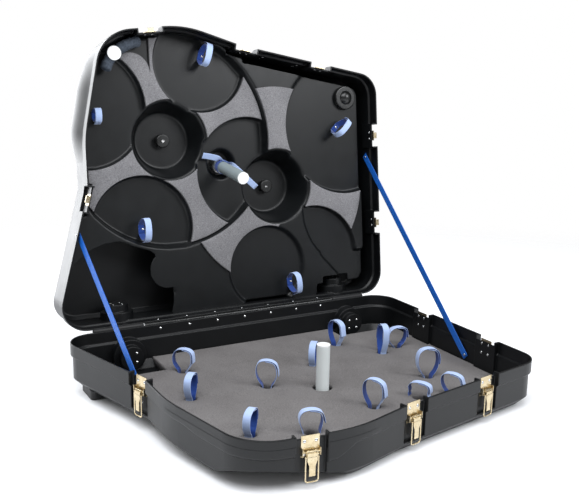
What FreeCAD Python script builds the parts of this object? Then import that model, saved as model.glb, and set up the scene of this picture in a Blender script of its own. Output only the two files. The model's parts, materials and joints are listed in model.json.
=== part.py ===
import FreeCAD, Part
import math
import os
from FreeCAD import Placement, Rotation, Vector

# A hinged bike travel case, standing open on the floor. Millimetres.
# It is modelled closed and level: the hinge axis runs along X through the origin, the base hangs
# below z = 0 and the lid stands above it. d is the distance in front of the hinge axis, so y = -d.
# At the end the lid is swung open and the case is set down on its rear feet and its front edge.

# Hinge
knuckle_radius = 5.0
hinge_pin_radius = 2.0
hinge_clearance = 0.3
leaf_thickness = 1.5
leaf_height = 22.0
hinge_start = 0.0
hinge_length = 672.0
knuckle_count = 14
hinge_rivet_count = 7
running_clearance = 0.05
lid_open_angle = 96.7

# Plan outline: a belt round eight circles
case_back = knuckle_radius + hinge_clearance
case_left = -245.0
case_right = 884.0
corner_radius = 75.0
tail_radius = 73.0
bulge_left = -146.0
bulge_d = 530.0
bulge_radius = 400.0
crown_ahead = 373.0
case_front = bulge_d + crown_ahead
right_fall = 129.0
right_side_front = case_front - right_fall
waist_radius = 120.0
waist_bearing = 189.6
nose_left = -100.0
nose_ahead = 360.0
nose_front = bulge_d + nose_ahead
nose_radius = 122.0
crown_x = 150.0
crown_radius = 330.0
sweep_radius = 250.0
sweep_bearing = 62.7
waist_run = 8.4
sweep_run = 10.8

# Shell walls
skin = 4.5
rim_gap = 1.0
band_height = 35.0
band_step = 6.0
step_slope = 5.0
base_wall = 105.0
base_depth = 130.0
base_toe = 25.0
lid_wall = 140.0
lid_depth = 155.0
lid_toe = 15.0

# Rise of the base's underside towards the nose
rise_bearing = 118.7
rise_run = 120.0
rise_height = 60.0

# Latch pockets
pocket_width = 76.0
pocket_depth = 14.0
base_pocket_reach = 100.0
lid_pocket_reach = 62.0
notch_drop = 12.0

# Feet
foot_drop = 30.0
foot_length = 112.0
foot_width = 112.0
foot_inset = 14.0
foot_radius = 14.0
sole_flat = 0.5

# Castors
castor_left_x = -60.0
castor_right_x = 725.0
base_castor_z = -78.0
lid_castor_z = 85.0
well_mouth_radius = 46.0
well_mouth_depth = 30.0
well_neck_radius = 31.0
well_depth = 52.0
castor_plate_radius = 26.0
castor_plate_thickness = 3.0
castor_rivet_circle = 20.0
crown_plate_radius = 22.0
crown_plate_thickness = 4.0
kingpin_radius = 5.0
castor_gap = 0.3
castor_trail = 14.0
castor_height = 70.0
castor_wheel_radius = 22.0
castor_wheel_width = 18.0
castor_axle_radius = 3.0
fork_arm = 2.5
fork_gap = 2.0
fork_foot_back = 8.0
fork_foot_ahead = 12.0
fork_foot_height = 12.0
fork_web_rise = 6.0
fork_web_half = 6.5
fork_eye_radius = 7.0
castor_wheel_fillet = 4.0

# Rivets
rivet_radius = 2.0
rivet_head_radius = 4.2
rivet_head_height = 2.2
rivet_clearance = 0.1

# Latches: shares of the straight runs of the outline that they stand on, then sizes
latch_shares = (0.96, 0.60, 0.03, 0.645, 0.225, 0.72)
plate_width = 44.0
plate_height = 50.0
plate_top = 4.0
sheet = 1.5
ear_height = 18.0
ear_reach = 9.5
latch_rivet_x = 14.0
latch_rivet_drops = (18.0, 47.0)
latch_pin_radius = 2.0
latch_pin_drop = 41.0
latch_pin_out = 6.5
lever_width = 24.0
lever_length = 54.0
lever_thickness = 3.0
lever_tip_width = 15.0
lever_knuckle_radius = 4.2
lever_shoulder = 8.0
lever_taper = 20.0
lever_web = 2.0
lever_cover = 1.0
bail_boss_wall = 1.6
bail_drop = 10.0
bail_out = 5.0
bail_wire_radius = 1.75
bail_pivot_radius = 1.3
bail_inner_width = 27.0
bail_length = 58.0
bail_bend = 6.0
bail_eye_share = 1.25
catch_width = 34.0
catch_height = 34.0
catch_start = 3.0
catch_hook_out = 11.0
catch_hook_share = 0.6
catch_hook_lip = 6.0
catch_rivet_x = 11.0
catch_rivet_share = 0.68

# Floor foam and poles
foam_thickness = 27.5
foam_clearance = 1.0
foam_corner_left = 18.0
foam_corner_right = 655.0
foam_corner_depth_left = 140.0
foam_corner_depth_right = 95.0
pole_radius = 19.0
pole_bore_radius = 16.0
base_pole_x = 360.0
base_pole_d = 462.0
base_pole_height = 122.0
socket_radius = 27.0
socket_height = 20.0
cap_thickness = 4.0
cap_plug = 12.0
socket_floor = 3.0
pole_fit = 0.2

# Lid liner: two wheel beds with recessed panels and hub wells
liner_skin = 3.0
liner_clearance = 1.0
zone_margin = 5.0
well_segments = 8
moat_width = 46.0
moat_start = 391.0
hinge_moat_start = 640.0
hinge_moat_depth = 300.0
rear_bed_level = 66.0
front_bed_level = 46.0
panel_drop = 16.0
bed_radius = 335.0
ridge_width = 14.0
rear_wheel = (137.0, 562.0)
front_wheel = (502.0, 399.0)
hub_well_radius = 120.0
hub_well_floor_radius = 90.0
rear_panels = [(-121.0, 662.0, 183.0), (250.0, 803.0, 155.0), (403.0, 451.0, 179.0), (34.0, 291.0, 163.0)]
front_panels = [(776.0, 598.0, 234.0), (454.0, 131.0, 138.0)]
right_panel = (823.0, 318.0, 222.0)
right_panel_corner = [(662.0, 158.0), (770.0, 42.0)]
left_well_clear = (-60.0, 80.0, 180.0)
left_lobe = (104.0, 158.0, 58.0)
right_well_margin = 8.0
hub_boss_radius = 22.0
hub_boss_height = 24.0
skewer_radius = 5.25
skewer_clear_radius = 8.0

# Wheel pads
pad_thickness = 9.0
pad_margin = 2.0
pad_inner_radius = 127.0
pad_outer_radius = 330.0
right_pad_clear = (632.0, 150.0, 175.0)

# Lid pole
lid_pole_x = 316.0
lid_pole_d = 482.0
lid_pole_cup_radius = 44.0
lid_pole_cup_depth = 36.0
lid_pole_length = 205.0
lid_pole_droop = 13.0
pole_lead = 30.0
collar_wall = 5.0
collar_height = 26.0
strap_width = 20.0
strap_thickness = 2.0
pole_strap_rise = 46.0
pole_strap_tails = (84.0, 60.0)
pole_strap_bearing = -24.0

# Tie straps: x, d and turn of each loop on the base floor
loop_radius = 31.0
loop_height = 78.0
loop_foot_radius = 12.0
loop_sink = 12.0
slot_margin = 1.4
base_loops = [
    (56, 174, -20), (0, 372, 50), (224, 387, -35), (45, 643, 45), (184, 700, -20), (591, 166, 40),
    (429, 293, 55), (682, 296, 50), (757, 268, -50), (414, 638, -10), (680, 526, -45), (561, 642, -20),
    (657, 666, -40),
]
# Lid loops: x, d, turn and the level of the panel they are riveted to
lid_loop_height = 74.0
lid_loop_radius = 36.0
lid_tab_length = 26.0

# Stay straps
stay_width = 24.0
stay_thickness = 1.6
stay_standoff = 3.0
stay_overhang = 10.0
stay_collar_radius = 5.0
stay_left_play = 1.9
stay_right_play = 0.3
stay_hole_margin = 1.2
stay_right_lid_d = 485.0
stay_right_lid_h = 58.0
stay_right_base_d = 469.0
stay_right_base_rise = 18.0
stay_left_lid_d = 288.0
stay_left_lid_h = 16.0
stay_left_base_rise = 24.0

# Corner pieces of the lid
bumper_x = 786.0
bumper_d = 694.0
bumper_radius = 40.0
bumper_height = 16.0
bumper_dome_radius = 24.0
bumper_dome_height = 14.0
roll_radius = 17.0
roll_inset = 44.0
roll_start = 104.0
roll_sweep = 66.0
plug_radius = 21.0
plug_thickness = 6.0

# Carry handle on the front wall of the lid
handle_place = 0.36
handle_z = 70.0
handle_span = 128.0
handle_reach = 42.0
handle_grip_radius = 9.0
handle_arm_thickness = 8.0
handle_pin_radius = 3.0
handle_out = 10.5
bracket_width = 12.0
bracket_base = 4.0
bracket_half = 22.0
bracket_eye = 6.0
bracket_rivet_rise = 14.0
handle_arm_half = 5.0
handle_gap = 0.5
handle_grip_fillet = 3.0

axis_x = Vector(1, 0, 0)
axis_y = Vector(0, 1, 0)
axis_z = Vector(0, 0, 1)


# Plan helpers
def plan(x, d, z=0.0):
    return Vector(x, -d, z)


def polar(centre, reach, bearing):
    angle = math.radians(bearing)
    return (centre[0] + reach * math.cos(angle), centre[1] + reach * math.sin(angle))


bulge = (bulge_left + bulge_radius, bulge_d)
crown = (crown_x, case_front - crown_radius)
waist = polar(bulge, bulge_radius + waist_radius + waist_run, waist_bearing)
sweep = polar(crown, crown_radius + sweep_radius + sweep_run, sweep_bearing)
nose = (nose_left + nose_radius, nose_front - nose_radius)
back_right = (case_right - corner_radius, case_back + corner_radius)
back_left = (case_left + tail_radius, case_back + tail_radius)
front_right = (case_right - corner_radius, right_side_front - corner_radius)

# Anticlockwise from the back right corner, a negative radius curves inwards
outline = [
    (back_right, corner_radius),
    (back_left, tail_radius),
    (waist, -waist_radius),
    (bulge, bulge_radius),
    (nose, nose_radius),
    (crown, crown_radius),
    (sweep, -sweep_radius),
    (front_right, corner_radius),
]
left_run = outline.index((back_left, tail_radius))
nose_run = outline.index((nose, nose_radius))
front_run = outline.index((sweep, -sweep_radius))
right_run = outline.index((front_right, corner_radius))


# Straight tangent runs of the belt: start, end and outward normal of each.
def runs(circles, inset):
    found = []
    for k in range(len(circles)):
        after = (k + 1) % len(circles)
        start = plan(*circles[k][0])
        end = plan(*circles[after][0])
        start_radius = circles[k][1] - inset
        end_radius = circles[after][1] - inset
        along = (end - start).normalize()
        lean = (start_radius - end_radius) / (end - start).Length
        normal = along * lean + Vector(along.y, -along.x, 0) * math.sqrt(1.0 - lean * lean)
        found.append((start + normal * start_radius, end + normal * end_radius, normal))
    return found


# Closed wire of tangent runs and arcs at height z.
def belt(circles, inset, z):
    lift = Vector(0, 0, z)
    straight = runs(circles, inset)
    edges = []
    for k in range(len(circles)):
        before = straight[k - 1]
        after = straight[k]
        radius = circles[k][1] - inset
        turn = math.atan2(before[2].x * after[2].y - before[2].y * after[2].x, before[2].dot(after[2]))
        if turn * radius < 0.0:
            turn += math.copysign(2.0 * math.pi, radius)
        middle = Rotation(axis_z, math.degrees(turn / 2.0)).multVec(before[2])
        crest = plan(*circles[k][0]) + middle * radius
        edges.append(Part.Arc(before[1] + lift, crest + lift, after[0] + lift).toShape())
        edges.append(Part.LineSegment(after[0] + lift, after[1] + lift).toShape())
    return Part.Wire(edges)


def prism(wire, height):
    return Part.Face(wire).extrude(Vector(0, 0, height))


# Solid through belts given as (z, inset): straight where the inset stays, sloped where it changes.
def stack(circles, levels):
    tiers = []
    for (low, inset_low), (high, inset_high) in zip(levels, levels[1:]):
        if inset_low == inset_high:
            tiers.append(prism(belt(circles, inset_low, low), high - low))
        else:
            ends = [belt(circles, inset_low, low), belt(circles, inset_high, high)]
            tiers.append(Part.makeLoft(ends, True, True))
    return tiers[0].fuse(tiers[1:]).removeSplitter()


def group(solids):
    return Part.makeCompound(solids)


def block(x0, x1, y0, y1, z0, z1):
    return Part.makeBox(x1 - x0, y1 - y0, z1 - z0, Vector(x0, y0, z0))


def rod(radius, start, end):
    return Part.makeCylinder(radius, (end - start).Length, start, end - start)


def disc(circle, low, high, grow=0.0):
    x, d, radius = circle
    return Part.makeCylinder(radius + grow, high - low, plan(x, d, low))


# A place on a straight run of the outline, with its outward normal.
def spot(run, part):
    start, end, normal = runs(outline, 0.0)[run]
    return start + (end - start) * part, normal


# Stand a piece made with +Y outwards at a place on the outline.
def seat(shape, place):
    point, normal = place
    turn = math.degrees(math.atan2(-normal.x, normal.y))
    moved = shape.copy()
    moved.Placement = Placement(point, Rotation(axis_z, turn)).multiply(moved.Placement)
    return moved


# Spherical cap with its flat side at centre.
def dome(radius, height, centre, direction):
    ball = (radius * radius + height * height) / (2.0 * height)
    latitude = math.degrees(math.asin((ball - height) / ball))
    cap = Part.makeSphere(ball, Vector(0, 0, height - ball), axis_z, latitude, 90.0, 360.0)
    cap.Placement = Placement(centre, Rotation(axis_z, direction)).multiply(cap.Placement)
    return cap


# Rivet through start and end, with a dome outside each.
def rivet(start, end):
    along = (end - start).normalize()
    shank = rod(rivet_radius, start, end)
    heads = [
        dome(rivet_head_radius, rivet_head_height, end, along),
        dome(rivet_head_radius, rivet_head_height, start, along * -1.0),
    ]
    return shank.fuse(heads)


def rivet_hole(start, end):
    return rod(rivet_radius + rivet_clearance, start, end)


# Shells
knee = skin * math.tan(math.radians(22.5))
latch_runs = (left_run, nose_run, front_run, front_run, right_run, right_run)
latch_places = [spot(run, share) for run, share in zip(latch_runs, latch_shares)]


# Outer body of a shell: side is +1 above the rim plane and -1 below it.
def tub(side, wall, depth, toe):
    levels = [
        (rim_gap / 2.0, 0.0),
        (band_height, 0.0),
        (band_height + step_slope, band_step),
        (wall, band_step),
        (depth, band_step + toe),
    ]
    levels = [(side * z, inset) for z, inset in levels]
    return stack(outline, levels if side > 0 else levels[::-1])


# Inside of a shell, from just past the rim to the floor.
def hollow(side, wall, depth, toe, clearance=0.0, start=-1.0):
    shrink = skin + clearance
    levels = [
        (start, shrink),
        (band_height, shrink),
        (band_height + step_slope, band_step + shrink),
        (wall - knee, band_step + shrink),
        (depth - skin, band_step + toe + shrink - skin + knee),
    ]
    levels = [(side * z, inset) for z, inset in levels]
    return stack(outline, levels if side > 0 else levels[::-1])


def pocket(side, reach, grow):
    low, high = sorted((-side * 2.0, side * (reach + grow)))
    half = pocket_width / 2.0 + grow
    body = block(-half, half, -pocket_depth - grow, pocket_depth, low, high)
    return [seat(body, place) for place in latch_places]


def notch(side):
    low, high = sorted((-side * 2.0, side * notch_drop))
    half = pocket_width / 2.0
    body = block(-half, half, -pocket_depth - 2.0 * skin, pocket_depth, low, high)
    return [seat(body, place) for place in latch_places]


# Everything under the sloping part of the base's underside, with the slope moved in by grow.
def nose_rise(grow):
    slope = math.atan2(rise_height, rise_run)
    ahead = plan(*polar((0.0, 0.0), 1.0, rise_bearing))
    start = plan(*nose, -base_depth) + ahead * (nose_radius - rise_run)
    body = block(-case_right, case_right, -rise_run, 4.0 * rise_run, -base_depth, 0.0)
    inwards = Vector(0, -math.sin(slope), math.cos(slope))
    body.Placement = Placement(inwards * grow, Rotation(Vector(1, 0, 0), math.degrees(slope)))
    return seat(body, (start, ahead))


def castor_well(x, z, grow):
    mouth = rod(well_mouth_radius + grow, plan(x, -well_depth, z),
                plan(x, case_back + well_mouth_depth + grow, z))
    neck = rod(well_neck_radius + grow, plan(x, -well_depth, z), plan(x, case_back + well_depth + grow, z))
    return mouth.fuse(neck)


def shell(side, wall, depth, toe, reach, castor_z):
    wells = [castor_well(x, castor_z, 0.0) for x in (castor_left_x, castor_right_x)]
    well_walls = [castor_well(x, castor_z, skin) for x in (castor_left_x, castor_right_x)]
    inside = hollow(side, wall, depth, toe).cut(pocket(side, reach, skin) + well_walls)
    outside = tub(side, wall, depth, toe).cut(pocket(side, reach, 0.0) + wells)
    if side < 0:
        inside = inside.cut(nose_rise(skin))
        outside = outside.cut(nose_rise(0.0))
    return outside.cut(inside).cut(notch(side))


# Hinge
# Leaf on the outside of a hinge wall with every second knuckle.
def hinge_leaf(side, first):
    wall_face = -case_back
    tab_root = knuckle_radius + 1.0
    low, high = sorted((side * tab_root, side * leaf_height))
    plate = block(hinge_start, hinge_start + hinge_length, wall_face, wall_face + leaf_thickness, low, high)
    pitch = hinge_length / knuckle_count
    pieces = []
    for k in range(first, knuckle_count, 2):
        x0 = hinge_start + k * pitch + hinge_clearance
        x1 = hinge_start + (k + 1) * pitch - hinge_clearance
        low, high = sorted((0.0, side * tab_root))
        pieces.append(block(x0, x1, wall_face, wall_face + leaf_thickness, low, high))
        pieces.append(rod(knuckle_radius, Vector(x0, 0, 0), Vector(x1, 0, 0)))
    bore = rod(hinge_pin_radius + running_clearance, Vector(hinge_start, 0, 0),
               Vector(hinge_start + hinge_length, 0, 0))
    return plate.fuse(pieces).cut(bore).removeSplitter()


hinge_rivet_z = (leaf_height + knuckle_radius) / 2.0
hinge_rivet_pitch = hinge_length / hinge_rivet_count


def hinge_rivet_line(side):
    ends = []
    for k in range(hinge_rivet_count):
        x = hinge_start + (k + 0.5) * hinge_rivet_pitch
        z = side * hinge_rivet_z
        ends.append((plan(x, case_back + skin, z), plan(x, case_back - leaf_thickness, z)))
    return ends


# Castors: made with the well's floor at the origin, +Y out of the well and the wheel trailing along +X
def castor_plate():
    plate = rod(castor_plate_radius, Vector(0, 0, 0), Vector(0, castor_plate_thickness, 0))
    bore = rod(kingpin_radius + running_clearance, Vector(0, -1, 0), Vector(0, castor_plate_thickness + 1, 0))
    holes = [rivet_hole(start, end) for start, end in castor_rivet_line()]
    return plate.cut([bore] + holes)


def castor_rivet_line():
    ends = []
    for k in range(4):
        angle = math.radians(45 + 90 * k)
        x = castor_rivet_circle * math.cos(angle)
        z = castor_rivet_circle * math.sin(angle)
        ends.append((Vector(x, -skin, z), Vector(x, castor_plate_thickness, z)))
    return ends


axle_out = castor_height - castor_wheel_radius
crown_low = castor_plate_thickness + rivet_head_height + castor_gap
crown_high = crown_low + crown_plate_thickness
arm_inner = castor_wheel_width / 2.0 + fork_gap


def castor_fork():
    crown_plate = rod(crown_plate_radius, Vector(0, crown_low, 0), Vector(0, crown_high, 0))
    kingpin = rod(kingpin_radius, Vector(0, castor_gap, 0), Vector(0, crown_low, 0))
    arms = []
    for z in (arm_inner, -arm_inner - fork_arm):
        foot = block(-fork_foot_back, fork_foot_ahead, crown_low, crown_low + fork_foot_height,
                     z, z + fork_arm)
        eye_centre = Vector(castor_trail, axle_out, z)
        eye = rod(fork_eye_radius, eye_centre, eye_centre + Vector(0, 0, fork_arm))
        root = crown_low + fork_web_rise
        corners = [Vector(-fork_foot_back, root, z), Vector(fork_foot_ahead, root, z),
                   Vector(castor_trail + fork_web_half, axle_out, z),
                   Vector(castor_trail - fork_web_half, axle_out, z)]
        web = Part.Face(Part.makePolygon(corners + corners[:1])).extrude(Vector(0, 0, fork_arm))
        arms += [foot, web, eye]
    fork = crown_plate.fuse([kingpin] + arms)
    half = arm_inner + fork_arm
    ends = (Vector(castor_trail, axle_out, -half), Vector(castor_trail, axle_out, half))
    hole = rod(castor_axle_radius, ends[0] - axis_z, ends[1] + axis_z)
    return group([fork.cut(hole).removeSplitter(), rod(castor_axle_radius, *ends)])


def castor_wheel():
    half = castor_wheel_width / 2.0
    start = Vector(castor_trail, axle_out, -half)
    wheel = rod(castor_wheel_radius, start, start + Vector(0, 0, castor_wheel_width))
    round_edges = [edge for edge in wheel.Edges if isinstance(edge.Curve, Part.Circle)]
    wheel = wheel.makeFillet(castor_wheel_fillet, round_edges)
    return wheel.cut(rod(castor_axle_radius + running_clearance, start - axis_z,
                         start + Vector(0, 0, castor_wheel_width + 1)))


# The base castors hang down from their level axis, the lid castors trail sideways
def in_well(shape, x, z):
    moved = shape.copy()
    if z < 0.0:
        moved.rotate(Vector(0, 0, 0), axis_y, 90)
    moved.translate(plan(x, case_back + well_depth, z))
    return moved


# Latches: made with the outline at y = 0, +Y outwards and the rim at z = 0
pocket_floor = -pocket_depth
pin_y = pocket_floor + sheet + latch_pin_out
pin_z = -latch_pin_drop
bail_y = pin_y + bail_out
bail_z = pin_z - bail_drop


def latch_plate():
    half = plate_width / 2.0
    top = -plate_top
    plate = block(-half, half, pocket_floor, pocket_floor + sheet, top - plate_height, top)
    ears = []
    for x in (-half, half - sheet):
        ear = block(x, x + sheet, pocket_floor, pocket_floor + sheet + ear_reach,
                    pin_z - ear_height / 2.0, pin_z + ear_height / 2.0)
        ears.append(ear)
    hole = rod(latch_pin_radius, Vector(-half - 1, pin_y, pin_z), Vector(half + 1, pin_y, pin_z))
    holes = [rivet_hole(start, end) for start, end in latch_rivet_line()]
    return plate.fuse(ears).cut([hole] + holes).removeSplitter()


def latch_rivet_line():
    ends = []
    for x in (-latch_rivet_x, latch_rivet_x):
        for drop in latch_rivet_drops:
            ends.append((Vector(x, pocket_floor - skin, -drop), Vector(x, pocket_floor + sheet, -drop)))
    return ends


def latch_pin():
    half = plate_width / 2.0
    return rod(latch_pin_radius, Vector(-half, pin_y, pin_z), Vector(half, pin_y, pin_z))


def latch_lever():
    half = lever_width / 2.0
    tip = lever_tip_width / 2.0
    end = pin_z - lever_length
    front = bail_y + bail_pivot_radius + lever_cover
    knuckle = rod(lever_knuckle_radius, Vector(-half, pin_y, pin_z), Vector(half, pin_y, pin_z))
    bail_boss = rod(bail_pivot_radius + bail_boss_wall, Vector(-half, bail_y, bail_z),
                    Vector(half, bail_y, bail_z))
    shoulder = bail_z - lever_shoulder
    taper = bail_z - lever_taper
    corners = [Vector(-half, 0, pin_z), Vector(half, 0, pin_z), Vector(half, 0, shoulder),
               Vector(tip, 0, taper), Vector(tip, 0, end), Vector(-tip, 0, end),
               Vector(-tip, 0, taper), Vector(-half, 0, shoulder)]
    face = Part.Face(Part.makePolygon(corners + corners[:1]))
    face.translate(Vector(0, front - lever_thickness, 0))
    tongue = face.extrude(Vector(0, lever_thickness, 0))
    web = block(-half, half, pin_y - lever_web, front, bail_z - lever_web, pin_z)
    lever = knuckle.fuse([bail_boss, tongue, web])
    pin = rod(latch_pin_radius + running_clearance, Vector(-half - 1, pin_y, pin_z),
              Vector(half + 1, pin_y, pin_z))
    bail = rod(bail_pivot_radius + running_clearance, Vector(-half - 1, bail_y, bail_z),
               Vector(half + 1, bail_y, bail_z))
    return lever.cut([pin, bail]).removeSplitter()


# Wire loop: a cross rod through the lever, two legs and a cross bar, with rounded lower corners.
def latch_bail():
    leg = bail_inner_width / 2.0 + bail_wire_radius
    bend = bail_bend
    low = bail_z - bail_length
    path = [
        Part.LineSegment(Vector(-leg, bail_y, bail_z), Vector(-leg, bail_y, low + bend)).toShape(),
        Part.Arc(Vector(-leg, bail_y, low + bend),
                 Vector(-leg + bend * (1 - math.sqrt(0.5)), bail_y, low + bend * (1 - math.sqrt(0.5))),
                 Vector(-leg + bend, bail_y, low)).toShape(),
        Part.LineSegment(Vector(-leg + bend, bail_y, low), Vector(leg - bend, bail_y, low)).toShape(),
        Part.Arc(Vector(leg - bend, bail_y, low),
                 Vector(leg - bend * (1 - math.sqrt(0.5)), bail_y, low + bend * (1 - math.sqrt(0.5))),
                 Vector(leg, bail_y, low + bend)).toShape(),
        Part.LineSegment(Vector(leg, bail_y, low + bend), Vector(leg, bail_y, bail_z)).toShape(),
    ]
    ring = Part.Wire([Part.makeCircle(bail_wire_radius, Vector(-leg, bail_y, bail_z), axis_z)])
    wire = Part.Wire(path).makePipeShell([ring], True, False)
    eye_radius = bail_wire_radius * bail_eye_share
    eyes = [Part.makeSphere(eye_radius, Vector(x, bail_y, bail_z)) for x in (-leg, leg)]
    cross_rod = rod(bail_pivot_radius, Vector(-leg, bail_y, bail_z), Vector(leg, bail_y, bail_z))
    return wire.fuse(eyes + [cross_rod])


def catch_plate():
    half = catch_width / 2.0
    hook = half * catch_hook_share
    high = catch_start + catch_height
    plate = block(-half, half, pocket_floor, pocket_floor + sheet, catch_start, high)
    shelf = block(-hook, hook, pocket_floor, pocket_floor + sheet + catch_hook_out,
                  catch_start, catch_start + sheet)
    lip_y = pocket_floor + catch_hook_out
    lip = block(-hook, hook, lip_y, lip_y + sheet, catch_start, catch_start + catch_hook_lip)
    holes = [rivet_hole(start, end) for start, end in catch_rivet_line()]
    return plate.fuse([shelf, lip]).cut(holes).removeSplitter()


def catch_rivet_line():
    z = catch_start + catch_height * catch_rivet_share
    return [(Vector(x, pocket_floor - skin, z), Vector(x, pocket_floor + sheet, z))
            for x in (-catch_rivet_x, catch_rivet_x)]


def on_latches(shapes):
    return [seat(shape, place) for place in latch_places for shape in shapes]


# Rivet lines of one latch repeated at every latch place.
def placed_ends(lines):
    found = []
    for point, normal in latch_places:
        turn = Placement(point, Rotation(axis_z, math.degrees(math.atan2(-normal.x, normal.y))))
        found += [(turn.multVec(start), turn.multVec(end)) for start, end in lines]
    return found


# Tie straps
# Strap loop standing on z = 0 in the XZ plane, drawn in towards its foot, the strap's width along Y.
def loop_ring(radius, height):
    circles = [((0.0, loop_foot_radius), loop_foot_radius), ((0.0, height - radius), radius)]
    outer = Part.Face(belt(circles, 0.0, 0.0))
    inner = Part.Face(belt(circles, strap_thickness, 0.0))
    ring = outer.cut(inner).extrude(Vector(0, 0, strap_width))
    ring.translate(Vector(0, 0, -strap_width / 2.0))
    ring.rotate(Vector(0, 0, 0), axis_x, -90)
    return ring


def base_loop(x, d, turn):
    ring = loop_ring(loop_radius, loop_height + loop_sink)
    ring.translate(Vector(0, 0, -loop_sink))
    half = strap_width / 2.0
    tail = block(-strap_thickness, strap_thickness, -half, half, -foam_thickness, strap_thickness - loop_sink)
    loop = ring.fuse(tail).removeSplitter()
    loop.rotate(Vector(0, 0, 0), axis_z, turn)
    loop.translate(plan(x, d, foam_top))
    return loop


# Round hole in the foam that a loop goes down through.
def base_slot(x, d):
    radius = math.hypot(loop_foot_radius, strap_width / 2.0) + slot_margin
    return rod(radius, plan(x, d, base_floor - 1.0), plan(x, d, foam_top + 1.0))


# Loop riveted to a panel by a flat tab; level is the panel's height.
def lid_loop(x, d, turn, level):
    half = strap_width / 2.0
    ring = loop_ring(lid_loop_radius, lid_loop_height)
    tab = block(-lid_tab_length / 2.0, lid_tab_length / 2.0, -half, half, 0.0, strap_thickness)
    hole = rivet_hole(Vector(0, half / 2.0, -1), Vector(0, half / 2.0, strap_thickness))
    head_room = rod(rivet_head_radius + rivet_clearance, Vector(0, half / 2.0, strap_thickness),
                    Vector(0, half / 2.0, loop_foot_radius))
    loop = ring.fuse(tab).cut([hole, head_room]).removeSplitter()
    return on_panel(loop, x, d, turn, level)


# Turn a piece made standing on z = 0 so that it stands on the lid panel, facing the base.
def on_panel(shape, x, d, turn, level):
    moved = shape.copy()
    moved.rotate(Vector(0, 0, 0), axis_x, 180)
    moved.rotate(Vector(0, 0, 0), axis_z, turn)
    moved.translate(plan(x, d, level))
    return moved


# Base
base_floor = -base_depth + skin
foam_top = base_floor + foam_thickness

base_shell = shell(-1, base_wall, base_depth, base_toe, base_pocket_reach, base_castor_z)
lid_shell = shell(1, lid_wall, lid_depth, lid_toe, lid_pocket_reach, lid_castor_z)


def floor_foam():
    body = hollow(-1, base_wall, base_depth, base_toe, foam_clearance)
    span = 2.0 * (case_right - case_left)
    body = body.common(Part.makeBox(span, span, foam_thickness, Vector(-span / 2.0, -span / 2.0, base_floor)))
    corner_left = block(case_left, foam_corner_left, -foam_corner_depth_left, 0.0, base_floor - 1.0, 0.0)
    corner_right = block(foam_corner_right, case_right, -foam_corner_depth_right, 0.0, base_floor - 1.0, 0.0)
    slots = [base_slot(x, d) for x, d, turn in base_loops]
    socket = rod(socket_radius + pole_fit, plan(base_pole_x, base_pole_d, base_floor - 1.0),
                 plan(base_pole_x, base_pole_d, 0.0))
    room = pocket(-1, base_pocket_reach, skin + foam_clearance)
    slope = nose_rise(skin + foam_clearance)
    return body.cut([corner_left, corner_right, socket, slope] + slots + room).removeSplitter()


def base_feet():
    feet = []
    top = -base_depth
    bottom = -base_depth - 2.0 * foot_drop
    left = case_left + foot_inset + base_toe
    right = case_right - foot_inset - base_toe - foot_length
    for x in (left, right):
        y1 = -case_back - foot_inset - band_step
        foot = block(x, x + foot_length, y1 - foot_width, y1, bottom, top)
        upright = [edge for edge in foot.Edges if abs(edge.tangentAt(edge.FirstParameter).z) > 0.9]
        feet.append(foot.makeFillet(foot_radius, upright))
    return feet


feet = base_feet()
feet = [foot.cut(tub(-1, base_wall, base_depth, base_toe)) for foot in feet]

socket_base = plan(base_pole_x, base_pole_d, base_floor)
socket_lip = socket_base + Vector(0, 0, socket_height)
pole_seat = socket_base + Vector(0, 0, socket_floor)
base_pole_socket = rod(socket_radius, socket_base, socket_lip).cut(
    rod(pole_radius + pole_fit, pole_seat, socket_lip + axis_z))
base_pole_top = plan(base_pole_x, base_pole_d, foam_top + base_pole_height)
base_pole = rod(pole_radius, pole_seat, base_pole_top).cut(
    rod(pole_bore_radius, pole_seat - axis_z, base_pole_top + axis_z))
plug_depth = Vector(0, 0, -cap_plug)
base_pole_cap = rod(pole_radius, base_pole_top, base_pole_top + Vector(0, 0, cap_thickness)).fuse(
    rod(pole_bore_radius - pole_fit, base_pole_top + plug_depth, base_pole_top)).removeSplitter()


# Lid liner
lid_roof = lid_depth - skin
wall_inset = band_step + skin + liner_clearance


# Plan of the raised bed: close to the wall on the left and along the hinge, behind a moat elsewhere
def plateau(low, high, grow):
    near = prism(belt(outline, wall_inset + grow, low), high - low)
    inner = prism(belt(outline, moat_width + grow, low), high - low)
    left_part = near.common(block(case_left, moat_start - grow, -case_front, 0.0, low, high))
    hinge_part = near.common(block(case_left, hinge_moat_start - grow, -hinge_moat_depth + grow, 0.0,
                                   low, high))
    return inner.fuse([left_part, hinge_part]).removeSplitter()


# Recess at the lower right: a round panel and the corner beyond its foot.
def right_corner(low, high, grow):
    across = Vector(*right_panel_corner[1], 0) - Vector(*right_panel_corner[0], 0)
    aside = Vector(-across.y, across.x, 0).normalize() * grow
    upper = plan(*right_panel_corner[0], low) - Vector(aside.x, -aside.y, 0)
    lower = plan(*right_panel_corner[1], low) - Vector(aside.x, -aside.y, 0)
    beyond = [upper, lower, plan(case_right, lower.y * -1.0, low), plan(case_right, upper.y * -1.0, low)]
    corner = prism(Part.makePolygon(beyond + beyond[:1]), high - low)
    lens = disc(right_panel, low, high, grow).common(disc(right_pad_clear, low, high, grow))
    return [lens, corner]


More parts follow.
